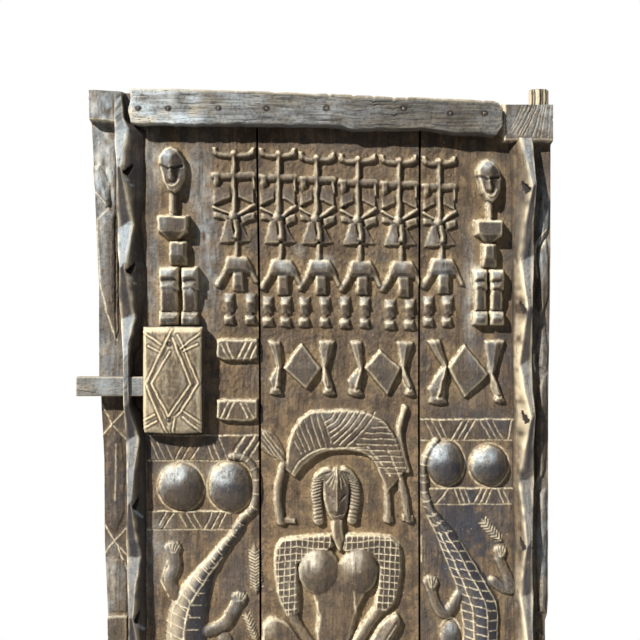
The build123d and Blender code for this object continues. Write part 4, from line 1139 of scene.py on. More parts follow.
def plank_piece(face, name, first_row, last_row):
    """The part of a plank between two rows of the sheet, as a closed solid with its masks."""
    start, stop = [int(np.argmin(abs(face.rows - row))) for row in (first_row, last_row)]
    part = np.s_[start:stop + 1]
    x, y = across(face.x[part]), up(face.y[part])
    back = back_y - face.rear[part] * MM
    mesh = shell(name, x, y, out(face.h[part]), back, across(face.back_x[part]), face.normals[part])
    coarse = np.ix_(marks(x.shape[0]), marks(x.shape[1]))
    for key in MASKS:
        rear = face.rear_masks.get(key, np.zeros_like(face.rear))[part][coarse]
        paint(mesh, **{key: np.concatenate([getattr(face, key)[part].ravel(), rear.ravel()])})
    print(name, "faces:", len(mesh.polygons))
    return new_piece(name, mesh, "leaf", "plank_wood", face.name)


def hew_back(face, seed):
    """The back as the adze left it: long shallow strokes along the grain with low ridges between them, and
    broken arrises at the plank's edges, with painted shade along them, so that the seams show as dark lines."""
    strokes = abs(face.cloud((64, 26), seed)) + 0.25 * abs(face.cloud((30, 18), seed + 1))
    ends = np.minimum(*[np.minimum(index, index[..., ::-1, ::-1]) for index in np.indices(face.h.shape)])
    face.rear = 0.3 + 2.0 * strokes + 0.4 * (1 + face.cloud((14, 12), seed + 2)) + 2.6 * (ends < 1)
    face.rear_masks = dict(
        hollow=0.9 * (ends < 1), dust=np.clip(0.1 + 0.45 * face.cloud((140, 30), seed + 3), 0, 0.5),
        silver=np.clip(0.4 * face.cloud((160, 16), seed + 4), 0, 0.4),
        shade=np.clip(0.5 * face.cloud((140, 44), seed + 5), 0, 0.5), warm=np.full(face.h.shape, 0.5))


plank_pieces = []
for face, seam in zip(faces, (383, 403, 411)):
    hew_back(face, 220 + face.h.shape[1])
    face.normals = grid_normals(across(face.x), up(face.y), out(face.h))
    plank_pieces += [plank_piece(face, face.name + "_upper", SHEET_TOP, seam),
                     plank_piece(face, face.name + "_lower", seam, SHEET_FOOT)]

# %% [markdown]
# ## The two ridges
# A ridge is a fin of wood that swells and narrows: wide and low at one mark, a thin peak at the next, with
# an eye bored sideways through each peak. We carry a section down the plank: a left flank, a flat top facet
# and a right flank, whose corners come from a short table of marks. The eyes are cut with a Boolean.

# %% Ridges
RIDGE_SINK = -1.0  # how far a ridge's back lies under the face, in millimetres
RIDGE_STEP = 0.9
# row, left foot, left crest, right crest, right foot, height at the left crest, height at the right crest
LEFT_RIDGE = path("""
    95,115.4,116.6,123.6,124.6,25,25.2 121,115.4,116.8,126,127.4,25,25.4 131,115.8,117,129.4,146,25.4,27
    150,117,117.8,127,146,31,34 170,119,120.8,125,146.4,42,43 200,118,119.6,130,146,31,33
    226,118,119.8,136,140,22,25 250,118.6,120.8,131.4,144,31,34 268,120.4,123.4,128.2,147.4,42,43
    292,119.4,121.6,133,147,32,33 317,121,122.8,137.4,142.6,23,25 345,122.6,125.6,131,142,36,38
    354,124,127,131.6,134.4,43,43 404,124,127.4,132.4,135,43,42 412,124.4,127.6,134,143,39,38
    437,125.4,127.8,141.4,145,23,25 470,126.6,129.6,137,145.6,33,35 500,128,131,134.8,146.6,42,43
    530,126.8,129,139,146,31,32 554,126.6,128.6,143,146,22,24 585,127.8,130.6,138.6,146,34,36
    612,129.6,132.4,136.6,147,42,43 640,129,131,141,146.6,31,32 668,129,130.8,144,147,22,24
    723,131,133.4,138,149,42,43 779,130.4,132.4,146,149,22,24 834,131.6,134,138.6,149,42,43
    898,131,133,146,149,22,24
""")
RIGHT_RIDGE = path("""
    140,507,518,530,534,26,24 160,509,523,531,534,34,32 188,511,528.6,532.6,535,43,41
    222,511,522,530.6,534,33,31 257.7,511.6,517.6,531.6,534,24,22 284,511.6,520.6,529.8,533.4,34,32
    307,512,523.6,528.6,533.4,43,41 335,511.6,519.4,529,533,33,31 362,511.6,517,529.6,532.6,24,22
    390,512,521,530,533,34,32 415,513,526.8,531.4,534,43,41 446,512,521.6,530.6,533.6,33,31
    478,512,517,531.6,533.4,24,22 510,512,520,529.6,533,34,32 540,513,523,528.4,533.6,43,41
    566,512.6,519.6,529,533,33,31 592,512.6,518.4,530.8,533.6,24,22 622,513,521.6,529.6,534,34,32
    653,514,525,529.6,534,43,41 709,512,518,531.6,534,24,22 765,514,525,529.6,534,43,41
    812,512,518,531.6,534,24,22 858,514,525,529.6,534,43,41 898,512,518,531.6,534,24,22
""")
LEFT_EYES = (171, 268, 500, 612, 723, 834)
RIGHT_EYES = (188, 307, 415, 540, 653, 765, 858)
FLANK, TOP = 7, 9


def ridge(name, table, eyes, node, seed, silvered, splintered, bare_and_lit, *rooms):
    """The surface at row r and section place t: t runs 0 to 1 up the left flank, 1 to 2 over the top facet
    and 2 to 3 down the right flank, each a straight line between corners read from the table at r. The last
    values say, from row to row, how strong the painted highlight on the climbing facets is, how pale the left
    flank is, as bare wood and as painted highlight, and how strongly it is splintered."""
    table = np.array(table, float)
    rows = np.arange(table[0, 0], table[-1, 0], RIDGE_STEP)
    left_foot, left_crest, right_crest, right_foot, left_rise, right_rise = [
        np.interp(rows, table[:, 0], table[:, k])[:, None] for k in range(1, 7)]
    flank = np.linspace(0, 1, FLANK)
    shares = np.concatenate([flank, 1 + np.linspace(0, 1, TOP)[1:], 2 + flank[1:]])
    shape = (len(rows), len(shares))

    def waves(down, along, step):
        """Random waves over the ridge."""
        return cloud(shape, (down, along), seed + step)

    x, h = np.zeros((2, *shape))
    corners = ((left_foot, 0), (left_crest, left_rise), (right_crest, right_rise), (right_foot, 0))
    for corner, (column, rise) in enumerate(corners):
        weight = unit(1 - abs(shares - corner))[None]
        x += weight * column
        h += weight * rise
    bow = unit(np.sin(np.pi * (shares - 1)))[None] * ((shares > 1) & (shares < 2))
    calm = np.clip((right_crest - left_crest - 3) / 6, 0.1, 1)
    h += 0.8 * bow + calm * (h > 1) * (0.7 * waves(9, 4, 0) + 0.35 * waves(4, 2, 1))
    splinters = waves(30, 1.3, 7)
    h += splintered * calm * (h > 1) * splinters
    x += 0.35 * calm * waves(14, 5, 2)
    h[:, [0, -1]] = RIDGE_SINK + 0.5
    y = np.broadcast_to(rows[:, None], shape) + 0.4 * calm * waves(10, 4, 3)
    edge = bell((shares[None] - 1) / 0.16) + bell((shares[None] - 2) / 0.16)
    mesh = shell(name, across(x), up(y), out(h), out(RIDGE_SINK))
    middle = np.interp(eyes, table[:, 0], table[:, 3])
    # painted light: a streak of sun that falls through each eye onto the wood below it and to its right
    eye_light_streak = np.zeros(shape)
    for column, row in zip(middle, eyes):
        away_from_light_streak = to_segment(x, y, (column + 3, row + 8), (column + 8.4, row + 16))
        eye_light_streak = np.maximum(eye_light_streak, bell(away_from_light_streak / 0.8))
    top = ((shares > 0.9) & (shares < 2.1))[None]
    slope_down = np.gradient(h[:, len(shares) // 2])[:, None] * np.ones_like(h)
    right_flank = ease((shares - 1.9) / 0.3)[None] * np.ones_like(h)
    drift = rows[:, None] + 6 * (np.clip(shares[None], 0.9, 2.1) - 1.5) + 2.5 * waves(7, 4, 6)
    climbs = np.interp(drift, rows, ease((slope_down[:, 0] + 0.12) / 0.24))
    patchy = 0.75 + 0.25 * waves(16, 5, 5)
    bare_and_lit_flank = np.interp(rows, *bare_and_lit)[:, None] * ease((shares - 0.1) / 0.3) * ease((1.2 - shares) / 0.25)
    bare_and_lit_flank = bare_and_lit_flank * unit(0.45 + 0.6 * waves(13, 4, 9) + 0.5 * waves(5, 2, 10))
    torn = splinters + 0.9 * waves(18, 6, 8)
    # painted shade low by the foot, on the right flank and on the falling facets; painted highlights on the
    # climbing facets, on the pale left flank and where the top faces up
    paint(mesh, worn=unit(edge * (0.5 + 0.5 * waves(8, 3, 4))),
          hollow=unit(0.6 * unit(1 - h / 12) + 0.3 * top * (1 - climbs) * patchy),
          shade=unit((0.75 * right_flank + 1.3 * top * (1 - climbs)) * patchy), gloss=top * 0.5,
          silver=unit(top * climbs * patchy * np.interp(rows, *silvered)[:, None] + eye_light_streak),
          cut=bare_and_lit_flank + np.clip(0.24 * splintered * (shares > 0.6) * (shares < 2.2) * (0.2 + edge) * torn, 0,
                             0.8),
          facing=top * np.clip(slope_down * 0.5, -1, 0.4))
    piece = new_piece(name, mesh, "leaf", "plank_wood", node)
    carve_with(piece, *[eye(column, row) for column, row in zip(middle, eyes)], *rooms, crossing=True)
    blacken(piece.data, eyes)
    uses = np.empty(len(piece.data.loops), np.int32)
    piece.data.loops.foreach_get("edge_index", uses)
    print(name, "faces:", len(piece.data.polygons), "open edges:", int((np.bincount(uses) != 2).sum()))
    return piece


def carve_with(piece, *prisms, crossing=False):
    """Takes closed prisms, each its points and its faces, away from the piece with one Boolean. Where the
    piece may cross itself, the Boolean is told to look for that, which takes longer."""
    firsts = np.cumsum([0] + [len(points) for points, _ in prisms])
    mesh = bpy.data.meshes.new("cutter")
    mesh.from_pydata(np.concatenate([points for points, _ in prisms]).tolist(), [],
                     [tuple(np.add(ring, first)) for first,
                      (_, rings) in zip(firsts, prisms) for ring in rings])
    outward(mesh)
    cutter = bpy.data.objects.new("cutter", mesh)
    bpy.context.scene.collection.objects.link(cutter)
    modifier = piece.modifiers.new("cut", "BOOLEAN")
    modifier.operation = "DIFFERENCE"
    modifier.object = cutter
    modifier.solver = "EXACT"
    modifier.use_self = crossing
    bpy.context.view_layer.update()
    cut_mesh = bpy.data.meshes.new_from_object(piece.evaluated_get(bpy.context.evaluated_depsgraph_get()))
    piece.modifiers.clear()
    cut_mesh.name = piece.name
    piece.data = cut_mesh
    bpy.data.objects.remove(cutter)


def prism(outline, depth_from, depth_to, axis):
    """The points and faces of a closed prism over an outline of (a, b) in metres, along "x" or "y"."""
    count = len(outline)
    flat = np.array(outline, float)
    order = (2, 0, 1) if axis == "x" else (0, 2, 1)
    rings = [np.column_stack([flat, np.full(count, depth)])[:, order] for depth in (depth_from, depth_to)]
    sides = [(k, (k + 1) % count, count + (k + 1) % count, count + k) for k in range(count)]
    return np.concatenate(rings), [tuple(range(count))[::-1], tuple(range(count, 2 * count)), *sides]


def block(low, high):
    """A plain cutter between two corners."""
    outline = [(low[0], low[2]), (high[0], low[2]), (high[0], high[2]), (low[0], high[2])]
    return prism(outline, low[1], high[1], "y")


def outward(mesh):
    """Turns every face of a closed mesh outwards."""
    work = bmesh.new()
    work.from_mesh(mesh)
    bmesh.ops.recalc_face_normals(work, faces=work.faces)
    work.to_mesh(mesh)
    work.free()


EYE_REACH = 0.05


def eye_outline(row):
    """An eye through the fin: six corners that slant across it and are narrow at both ends."""
    return [(out(40), up(row + 4)), (out(35), up(row + 1)), (out(22), up(row - 5.6)),
            (out(21), up(row - 2.6)), (out(26), up(row + 2.6)),
            (out(31), up(row + 7.4))]


def eye(column, row):
    """The cutter of an eye, across the whole fin."""
    return prism(eye_outline(row), across(column) - EYE_REACH, across(column) + EYE_REACH, "x")


def blacken(mesh, rows):
    """Painted shade in the eyes: the points on an eye's walls get the full painted shade of the hollow mask.
    """
    points, eye_shade = np.empty(len(mesh.vertices) * 3, np.float32), np.empty(len(mesh.vertices), np.float32)
    mesh.vertices.foreach_get("co", points)
    mesh.attributes["hollow"].data.foreach_get("value", eye_shade)
    _, deep, high = points.reshape(-1, 3).T
    for row in rows:
        eye_shade[abs(depth_inside(deep, high, eye_outline(row))) < 2e-5] = 1
    mesh.attributes["hollow"].data.foreach_set("value", eye_shade)


PLAY = 0.0009
bolt_low, bolt_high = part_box("lock_bolt")
bolt_room = block((free_edge, bolt_low[1] - PLAY, bolt_low[2] - PLAY),
                  (bolt_high[0] + 0.01, bolt_high[1] + PLAY, bolt_high[2] + PLAY))
ridge_pieces = [ridge("left_ridge", LEFT_RIDGE, LEFT_EYES, "left_plank", 60,
                      ((100, 350, 430, 560, 620), (1.1, 1.0, 0.7, 0.5, 0.3)), 0.15,
                      ((0, 1), (0, 0)), bolt_room),
                ridge("right_ridge", RIGHT_RIDGE, RIGHT_EYES, "right_plank", 70,
                      ((140, 300, 640), (0.6, 0.4, 0.3)), 1.2,
                      ((140, 250, 262, 320, 420, 480, 640), (0.12, 0.05, 0.3, 0.6, 0.55, 0.1, 0.3)))]

# %% [markdown]
# ## Pivots
# The door turns on two stubs hewn round at the corners of the hinge plank. They are old end grain with deep
# cracks, so the radius dips along a few lines that run down the stub.

# %% Pivot stubs
PIVOT_RADIUS = 0.0197
LEVELS, SIDES = 26, 96
CRACKS = 11


def stub(name, low, high, seed):
    """A round stub: the radius is constant but for cracks, which are bell-shaped dips in the angle."""
    turns = np.linspace(0, 2 * np.pi, SIDES + 1)[None, :-1]
    levels = np.linspace(0, 1, LEVELS)[:, None]
    radius = PIVOT_RADIUS * (1 + 0.012 * cloud((LEVELS, SIDES), (6, 5), seed))
    rng = np.random.default_rng(seed)
    for angle, depth in zip(rng.uniform(0, 2 * np.pi, CRACKS), rng.uniform(0.05, 0.16, CRACKS)):
        gap = np.angle(np.exp(1j * (turns - angle - 0.12 * np.sin(3 * levels))))
        radius = radius * (1 - depth * bell(gap / 0.07))
    radius = np.minimum(radius, PIVOT_RADIUS) * np.where((levels > 0.04) & (levels < 0.96), 1, 0.93)
    z = low + (high - low) * levels + 0 * turns
    z = z - (levels > 0.97) * 0.0015 * (1 + cloud((LEVELS, SIDES), (3, 3), seed + 1))
    points = np.stack([radius * np.cos(turns), radius * np.sin(turns), z], -1).reshape(-1, 3)
    index = np.arange(LEVELS * SIDES).reshape(LEVELS, SIDES)
    following = np.roll(index, -1, 1)
    side = np.stack([index[:-1], following[:-1], following[1:], index[1:]], -1).reshape(-1, 4)
    mesh = fill_mesh(name, points, [side, index[0][None, ::-1], index[-1][None]])
    smooth = np.ones(len(mesh.polygons), bool)
    smooth[-2:] = False
    mesh.polygons.foreach_set("use_smooth", smooth)
    # pale where the round is whole, and painted shade down the cracks
    paint(mesh, worn=0.35 + 0.5 * (radius > PIVOT_RADIUS * 0.99),
          hollow=unit((PIVOT_RADIUS - radius) / 0.002))
    return new_piece(name, mesh, "leaf", "plank_wood", "right_plank")


hinge_low, hinge_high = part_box("right_plank")
stub_pieces = [stub("top_pivot", hinge_high[2] - 0.040, hinge_high[2], 80),
               stub("bottom_pivot", hinge_low[2], 0.002, 81)]
print("pivot stubs:", len(stub_pieces))

# %% [markdown]
# ## Battens
# A batten is a squared beam whose arrises are broken: we carry a rounded rectangle along it, and let its
# upper and lower edges wander as the adze left them. Weathering raises the grain, so the front is ribbed
# lengthwise, and splits follow the grain.

# %% Battens
BATTEN_STAND = 38.0
BATTEN_POINTS = 44
ARRIS = 2.2
SPLITS = 16


def nail_places(node, axis):
    """The middles of a node's separate nails: its points, sorted along an axis, fall into groups."""
    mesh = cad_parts[node].data
    points = np.empty(len(mesh.vertices) * 3)
    mesh.vertices.foreach_get("co", points)
    points = points.reshape(-1, 3)
    points = points[np.argsort(points[:, axis])]
    groups = np.split(points, np.flatnonzero(np.diff(points[:, axis]) > 0.02) + 1)
    return [tuple((group.min(0) + group.max(0))[[0, 2]] / 2) for group in groups]


def on_sheet(x, z):
    """The column and row of a place given in metres."""
    return SHEET_LEFT + (x - free_edge) / SQUARE, SHEET_TOP + (leaf_top - z) / SQUARE


def bleach(x):
    """How bleached a beam is at a column: most at the left, little beyond the middle."""
    return np.interp(x, (132, 175, 215, 330, 400, 500), (1.1, 1.0, 0.4, 0.26, 0.1, 0.1))


def gloom(x):
    """How dark a beam is at a column: more and more to the right."""
    return np.interp(x, (132, 180, 215, 330, 400, 500), (0.0, 0.0, 0.8, 1.0, 0.8, 0.95))


def beam(name, columns, top_line, low_line, node, seed):
    """The front is a grid of columns and shares from the top edge to the lower one. Its height falls off at
    both edges as a quarter circle of the arris's radius, and is ribbed, bruised round the nails and split."""
    tops, lows = np.interp(columns, *zip(*top_line)), np.interp(columns, *zip(*low_line))
    share = np.linspace(0, 1, BATTEN_POINTS)[None]
    shape = (len(columns), BATTEN_POINTS)

    def waves(along, down, step):
        """Random waves over the beam's front."""
        return cloud(shape, (along, down), seed + step)

    def edge_waves(along, step):
        """Random waves along an edge."""
        return cloud((len(columns), 1), (along, 1), seed + step)[:, 0]

    chipped = unit(edge_waves(5, 11) - 0.3) * np.interp(columns, (300, 330, 490, 500), (0, 2, 2, 0))
    tops = tops + 0.5 * edge_waves(12, 0) + chipped
    lows = lows + 0.9 * edge_waves(9, 1)
    arris = ARRIS * (1 + 0.5 * edge_waves(16, 2)[:, None])
    height = BATTEN_STAND * (1 - 0.004 * (1 - share))
    from_edge = np.minimum(share, 1 - share) * (lows - tops)[:, None]
    round_off = arris * (1 - np.sqrt(unit(1 - (1 - unit(from_edge / arris)) ** 2)))
    grain = 0.5 * waves(60, 1.6, 3) + 0.45 * waves(22, 1.0, 4)
    grain = grain * np.interp(columns, (130, 190, 240), (0.4, 0.6, 1.3))[:, None]
    h = height - round_off - 0.5 - grain - 0.5 * (1 + waves(30, 9, 5))
    y = tops[:, None] + (lows - tops)[:, None] * share
    x = columns[:, None] + 1.1 * np.exp(-(columns[:, None] - columns[0]) / 5) * np.sin(9 * share - 1)
    splits, bruise_shadow = np.zeros((2, *shape))
    for place in nail_places(node + "_nails", 0):
        column, row = on_sheet(*place)
        away = np.hypot(x - column, (y - row) * 1.2)
        bruise_shadow = np.maximum(bruise_shadow, bell((away - 2.6) / 1.1))
        h = h - 1.6 * np.exp(-(away / 3.4) ** 4)
    rng = np.random.default_rng(seed)
    spans = (columns[0], columns[-1] - 30), (0.1, 0.9), (16, 60)
    for start, row, length in zip(*[rng.uniform(low, high, SPLITS) for low, high in spans]):
        line = row + 0.03 * np.sin((x - start) / 9)
        swell = np.sin(np.pi * unit((x - start) / length)) * ((x > start) & (x < start + length))
        splits = np.maximum(splits, swell * bell((share - line) * 34 / 0.55))
    h = h - 2.2 * splits
    ends = np.minimum(x - columns[0], columns[-1] - x)
    h = h - 2.5 * bell(ends / 1.2)
    mesh = shell(name, across(x.T), up(y.T), out(h.T), out(0.2))
    # pale along the upper arris and at the ends: wear, with a painted highlight on the top edge that faces
    # the sun; painted shade in the splits, in the grooves of the grain and in a ring round each nail
    edge = bell(from_edge / 2.4) * (share < 0.5) + 0.5 * bell(ends / 3)
    paint(mesh, worn=unit(edge * 0.8 + 0.25 * np.clip(grain, -1, 1)).T,
          hollow=unit(splits + 1.2 * unit(grain - 0.35) + bruise_shadow).T,
          cut=np.clip(bleach(x) * (0.1 + 0.9 * waves(13, 10, 9)) - 0.1, 0, 0.8).T,
          dust=np.clip(waves(20, 6, 10), 0, 0.7).T,
          silver=unit(bleach(x) * (0.75 + 0.6 * waves(16, 12, 6) + 0.3 * waves(40, 2, 7))).T,
          shade=unit(gloom(x) * (0.8 + 0.5 * waves(18, 4, 8))).T)
    print(name, "faces:", len(mesh.polygons))
    return new_piece(name, mesh, "leaf", "batten_wood", node)


BATTEN_LEFT, BATTEN_RIGHT = 132.6, 500
top_line = path("132,92.2 212,93.2 255,95.2 320,97.2 361,99.2 421,101.4 490,104.2 496,106 500,112")
low_line = path("132,126.2 212,127 330,128 352,131.6 388,132 420,130.2 453,135.6 494,138 500,130")
top_batten = beam("top_batten_beam", np.arange(BATTEN_LEFT, BATTEN_RIGHT, 0.8), top_line, low_line,
                  "top_batten", 90)
bottom_left, bottom_right = [on_sheet(corner[0], 0)[0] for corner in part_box("bottom_batten")]
foot_top, foot_low = [[(column, SHEET_FOOT - rise) for column in (bottom_left, bottom_right)]
                      for rise in (38.6, 5.4)]
bottom_batten = beam("bottom_batten_beam", np.arange(bottom_left + 1, bottom_right - 0.5, 1.2), foot_top,
                     foot_low,
                     "bottom_batten", 100)

# %% [markdown]
# ## Nails
# The nails are forged, with flat hammered heads that sit in the shadow of a bruise. The shank is hidden in
# the wood, so it is a plain run of rings, spread a little where it ends at the planks' back.

# %% Nails
NAIL_SIDES = 8
HEAD_SINK = 1.6  # how far a batten's nail heads lie below its face, in millimetres


def nails(name, places, stand_off, node):
    """One nail per place, as rings of eight uneven points from the planks' back to the front: a spread end,
    the shank, and a head that is wide at the wood and drawn in over a low crown."""
    rings = [(0.0030, back_y - 0.0001), (0.0038, back_y - 0.0009), (0.0027, back_y - 0.0036)]
    rings += [(radius, out(stand_off + rise)) for radius, rise in (
        (0.0027, -2), (0.0042, -1.6), (0.0041, -0.4), (0.0028, 0.3), (0.0008, 0.6))]
    turns = np.linspace(0, 2 * np.pi, NAIL_SIDES, endpoint=False)
    points, quads, caps = [], [], []
    for number, (x, z) in enumerate(places):
        uneven = 1 + 0.12 * np.sin(3 * turns + number)
        for radius, depth in rings:
            points.append(np.column_stack([x + radius * uneven * np.cos(turns), np.full(NAIL_SIDES, depth),
                                           z + radius * uneven * np.sin(turns)]))
        index = (number * len(rings) + np.arange(len(rings)))[:, None] * NAIL_SIDES + np.arange(NAIL_SIDES)
        following = np.roll(index, -1, 1)
        quads.append(np.stack([index[:-1], index[1:], following[1:], following[:-1]], -1).reshape(-1, 4))
        caps += [index[0][::-1], index[-1]]
    mesh = fill_mesh(name, np.concatenate(points), [np.concatenate(quads), np.array(caps)])
    outward(mesh)
    return new_piece(name, mesh, "leaf", "forged_iron", node)


top_nails, bottom_nails = [nails(side + "_nails", nail_places(side + "_batten_nails", 0),
                                 BATTEN_STAND - HEAD_SINK,
                                 side + "_batten_nails") for side in ("top", "bottom")]
print("batten nails:", len(nail_places("top_batten_nails", 0)), "and",
      len(nail_places("bottom_batten_nails", 0)))

# %% [markdown]
# ## The lock
# The lock is a block with a convex face, bevelled at its top and rounded below, on which a double diamond
# and corner chevrons stand as fine raised lines. We make it as a face over a small grid, like the planks,
# and then cut the bolt's channel and the three pin slots out of it.

# %% Lock body
LOCK_LEFT, LOCK_RIGHT, LOCK_TOP, LOCK_FOOT = 145.6, 204.4, 326.2, 432.8
LOCK_MIDDLE = (LOCK_LEFT + LOCK_RIGHT) / 2
LOCK_CROWN = 49.0
LOCK_STEP = 0.56
lx, ly = np.meshgrid(np.arange(LOCK_LEFT, LOCK_RIGHT + 0.01, LOCK_STEP),
                     np.arange(LOCK_TOP, LOCK_FOOT + 0.01, LOCK_STEP))


def lock_waves(down, along, seed):
    """Random waves over the lock's face."""
    return cloud(lx.shape, (down, along), seed)


lock_u = (lx - LOCK_MIDDLE) / ((LOCK_RIGHT - LOCK_LEFT) / 2)
lock_v = (ly - (LOCK_TOP + LOCK_FOOT) / 2) / ((LOCK_FOOT - LOCK_TOP) / 2)
lock_h = LOCK_CROWN - 7.5 * lock_u ** 2 - 4 * unit(lock_v) ** 2 - 2 * unit(-lock_v) ** 2
rim = np.minimum.reduce([(lx - LOCK_LEFT) * 1.3, LOCK_RIGHT - lx, ly - LOCK_TOP, (LOCK_FOOT - ly) * 0.7])
lock_h -= 10 * (1 - np.sqrt(unit(1 - (1 - unit(rim / 5)) ** 2)))
lock_h -= 5 * ease((LOCK_TOP + 6 - ly) / 6)
lock_h -= 5 * unit((ly - (LOCK_FOOT - 9)) / 9) ** 2
lock_cut = np.zeros_like(lx)
ribs = ("175,329.6 149.2,382.5 169.2,430.6", "173.3,350.8 155,382.5 171.7,414.5 193.3,383.3 176,338",
        "180.6,335 185,343 200.8,382 184,410 178,415 175.8,430", "146.6,332 165,344", "151.8,346 162.5,351.4",
        "202.7,332.7 183.5,348", "200,344 186.6,350.5", "146,419.6 158,413", "146,427.6 159.8,419.3",
        "184.8,408.6 203,421.6", "185.7,415.7 201.4,428.6")
grooves = ("172.4,342 152.3,382.5 170.2,423", "180.6,345 197,382.6 176.5,418")
swayed_x, swayed_y = [place + 0.45 * lock_waves(16, 14, 118 + k) + 0.2 * lock_waves(5, 5, 130 + k)
                      for k, place in enumerate((lx, ly))]
lock_skips = np.clip(0.65 + 0.5 * lock_waves(5, 5, 122), 0.1, 1)
for line in ribs:
    away = to_line(swayed_x, swayed_y, path(line))
    lock_h += 1.2 * bell(away / 0.85)
    lock_h -= 0.9 * bell((away - 1.9) / 0.9)
    lock_cut = np.maximum(lock_cut, 0.75 * lock_skips * bell(away / 0.7))
for line in grooves:
    lock_h -= 1.3 * bell(to_line(swayed_x, swayed_y, path(line)) / 0.9)
for place in nail_places("lock_nails", 2):
    column, row = on_sheet(*place)
    lock_h -= 2.4 * np.exp(-(np.hypot(lx - column, ly - row) / 3.0) ** 4)
# a stain in the middle, and painted shade along the right side and the bottom, which are turned from the sun
lock_stain_and_shade = bell(np.hypot((lx - 173) / 11, (ly - 372) / 24)) * (
    0.55 + 0.45 * lock_waves(9, 5, 112) + 0.3 * lock_waves(30, 3, 113))
lock_stain_and_shade = np.maximum(lock_stain_and_shade, 0.8 * ease((lx - 190) / 14) * (0.7 + 0.3 * lock_waves(20, 6, 114)))
lock_stain_and_shade = np.maximum(lock_stain_and_shade, 0.7 * ease((ly - 416) / 14) * (0.6 + 0.4 * lock_waves(6, 9, 115)))
# painted highlight along the top bevel, and pale patches
lock_glare = ease((LOCK_TOP + 8 - ly) / 8) * (0.7 + 0.5 * lock_waves(5, 12, 116))
lock_glare = lock_glare + 0.35 * unit(lock_waves(24, 14, 117))
lock_h += 0.35 * lock_waves(16, 9, 110) + 0.2 * lock_waves(5, 4, 111) - 0.3
lock_high = (face_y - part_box("lock_body")[0][1]) / MM
lock_h = np.minimum(lock_h, lock_high - 0.05)
corner_pull = 1 - 0.035 * unit((lock_v - 0.8) / 0.2) ** 2
lock_x = LOCK_MIDDLE + (lx - LOCK_MIDDLE) * corner_pull
lock_y = ly - 1.2 * unit(lock_v) ** 4 * lock_u ** 2 + 0.5 * unit(-lock_v) ** 4 * lock_u ** 2
lock_mesh = shell("lock_block", across(lock_x), up(lock_y), out(lock_h), out(0.05))
# the hollow mask paints shade into the grooves and round the nail heads
paint(lock_mesh, worn=unit((lock_h - blurred(lock_h, 3)) / 0.9),
      hollow=unit((blurred(lock_h, 4) - lock_h) / 1.6),
      cut=lock_cut, gloss=0.25 * np.exp(-(lock_u ** 2 + (lock_v + 0.1) ** 2) * 3), shade=unit(lock_stain_and_shade),
      silver=np.clip(lock_glare, 0, 0.8))
lock_block = new_piece("lock_block", lock_mesh, "leaf", "lock_wood", "lock_body")
print("lock grid:", lx.shape, "height, mm:", round(lock_h.max(), 1))

# %% [markdown]
# ## Room for the bolt and the pins
# Three iron pins drop from chambers in the lock into holes in the bolt, and a key pushes them up again from
# a channel inside the bolt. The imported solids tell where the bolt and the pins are, so the hollows are cut
# from their boxes with a little play.

# %% Hollows of lock and bolt
pin_boxes = [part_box(name) for name in ("tumbler_outer", "tumbler_middle", "tumbler_inner")]
PIN_SIZE, PIN_HEAD = 0.008, 0.010  # metres, like the next two
PIN_LIFT, PIN_DROP = 0.012, 0.010
carve_with(lock_block, bolt_room)
for low, high in pin_boxes:
    middle = (low[0] + high[0]) / 2
    left, right = middle - PIN_SIZE / 2 - PLAY, middle + PIN_SIZE / 2 + PLAY
    head_foot, head_top = high[2] - PIN_HEAD - PIN_DROP - PLAY, high[2] + PIN_LIFT + PLAY
    tee = [(left, bolt_high[2]), (right, bolt_high[2]), (right, head_foot), (high[0] + PLAY, head_foot),
           (high[0] + PLAY, head_top), (low[0] - PLAY, head_top), (low[0] - PLAY, head_foot),
           (left, head_foot)]
    carve_with(lock_block, prism(tee, low[1] - PLAY, face_y + 0.01, "y"))
print("lock faces:", len(lock_block.data.polygons))

# %% [markdown]
# ## The bolt
# The bolt is a planed bar, greyed where it is pushed and pulled, with a split at its free end.

# %% Bolt
KEY_ROOM, KEY_LENGTH = 0.014, 0.092
BOLT_HOME = 0.010
PIN_PLAY = 0.0004
BOLT_LINES = 26
bolt_columns = np.arange(0, 1.0001, 0.008) * (bolt_high[0] - bolt_low[0]) + bolt_low[0]
bolt_levels = bolt_high[2] + (bolt_low[2] - bolt_high[2]) * np.linspace(0, 1, BOLT_LINES)
bx, bz = np.meshgrid(bolt_columns, bolt_levels)
from_end = bx - bolt_low[0]
bolt_edge = np.minimum.reduce([from_end, bolt_high[0] - bx, bolt_high[2] - bz, bz - bolt_low[2]]) / MM
bolt_grain = cloud(bx.shape, (1.5, 30), 120)
bolt_front = bolt_low[1] + 0.0022 * unit(1 - bolt_edge / 2.2) ** 2 + 0.0003 * (1 + bolt_grain)
split = bell((bz - (bolt_low[2] + 0.012 - 0.25 * from_end * 0.5)) / 0.0009) * (bx < bolt_low[0] + 0.04)
bolt_front = bolt_front + 0.0014 * split
greyed = np.interp(from_end / MM, (20, 50, 90), (0.2, 0.9, 0.7))
soiled = np.interp(from_end / MM, (30, 70, 120), (0.3, 0.9, 1.2))
bolt_mesh = shell("bolt_bar", bx, bz, bolt_front, bolt_high[1])
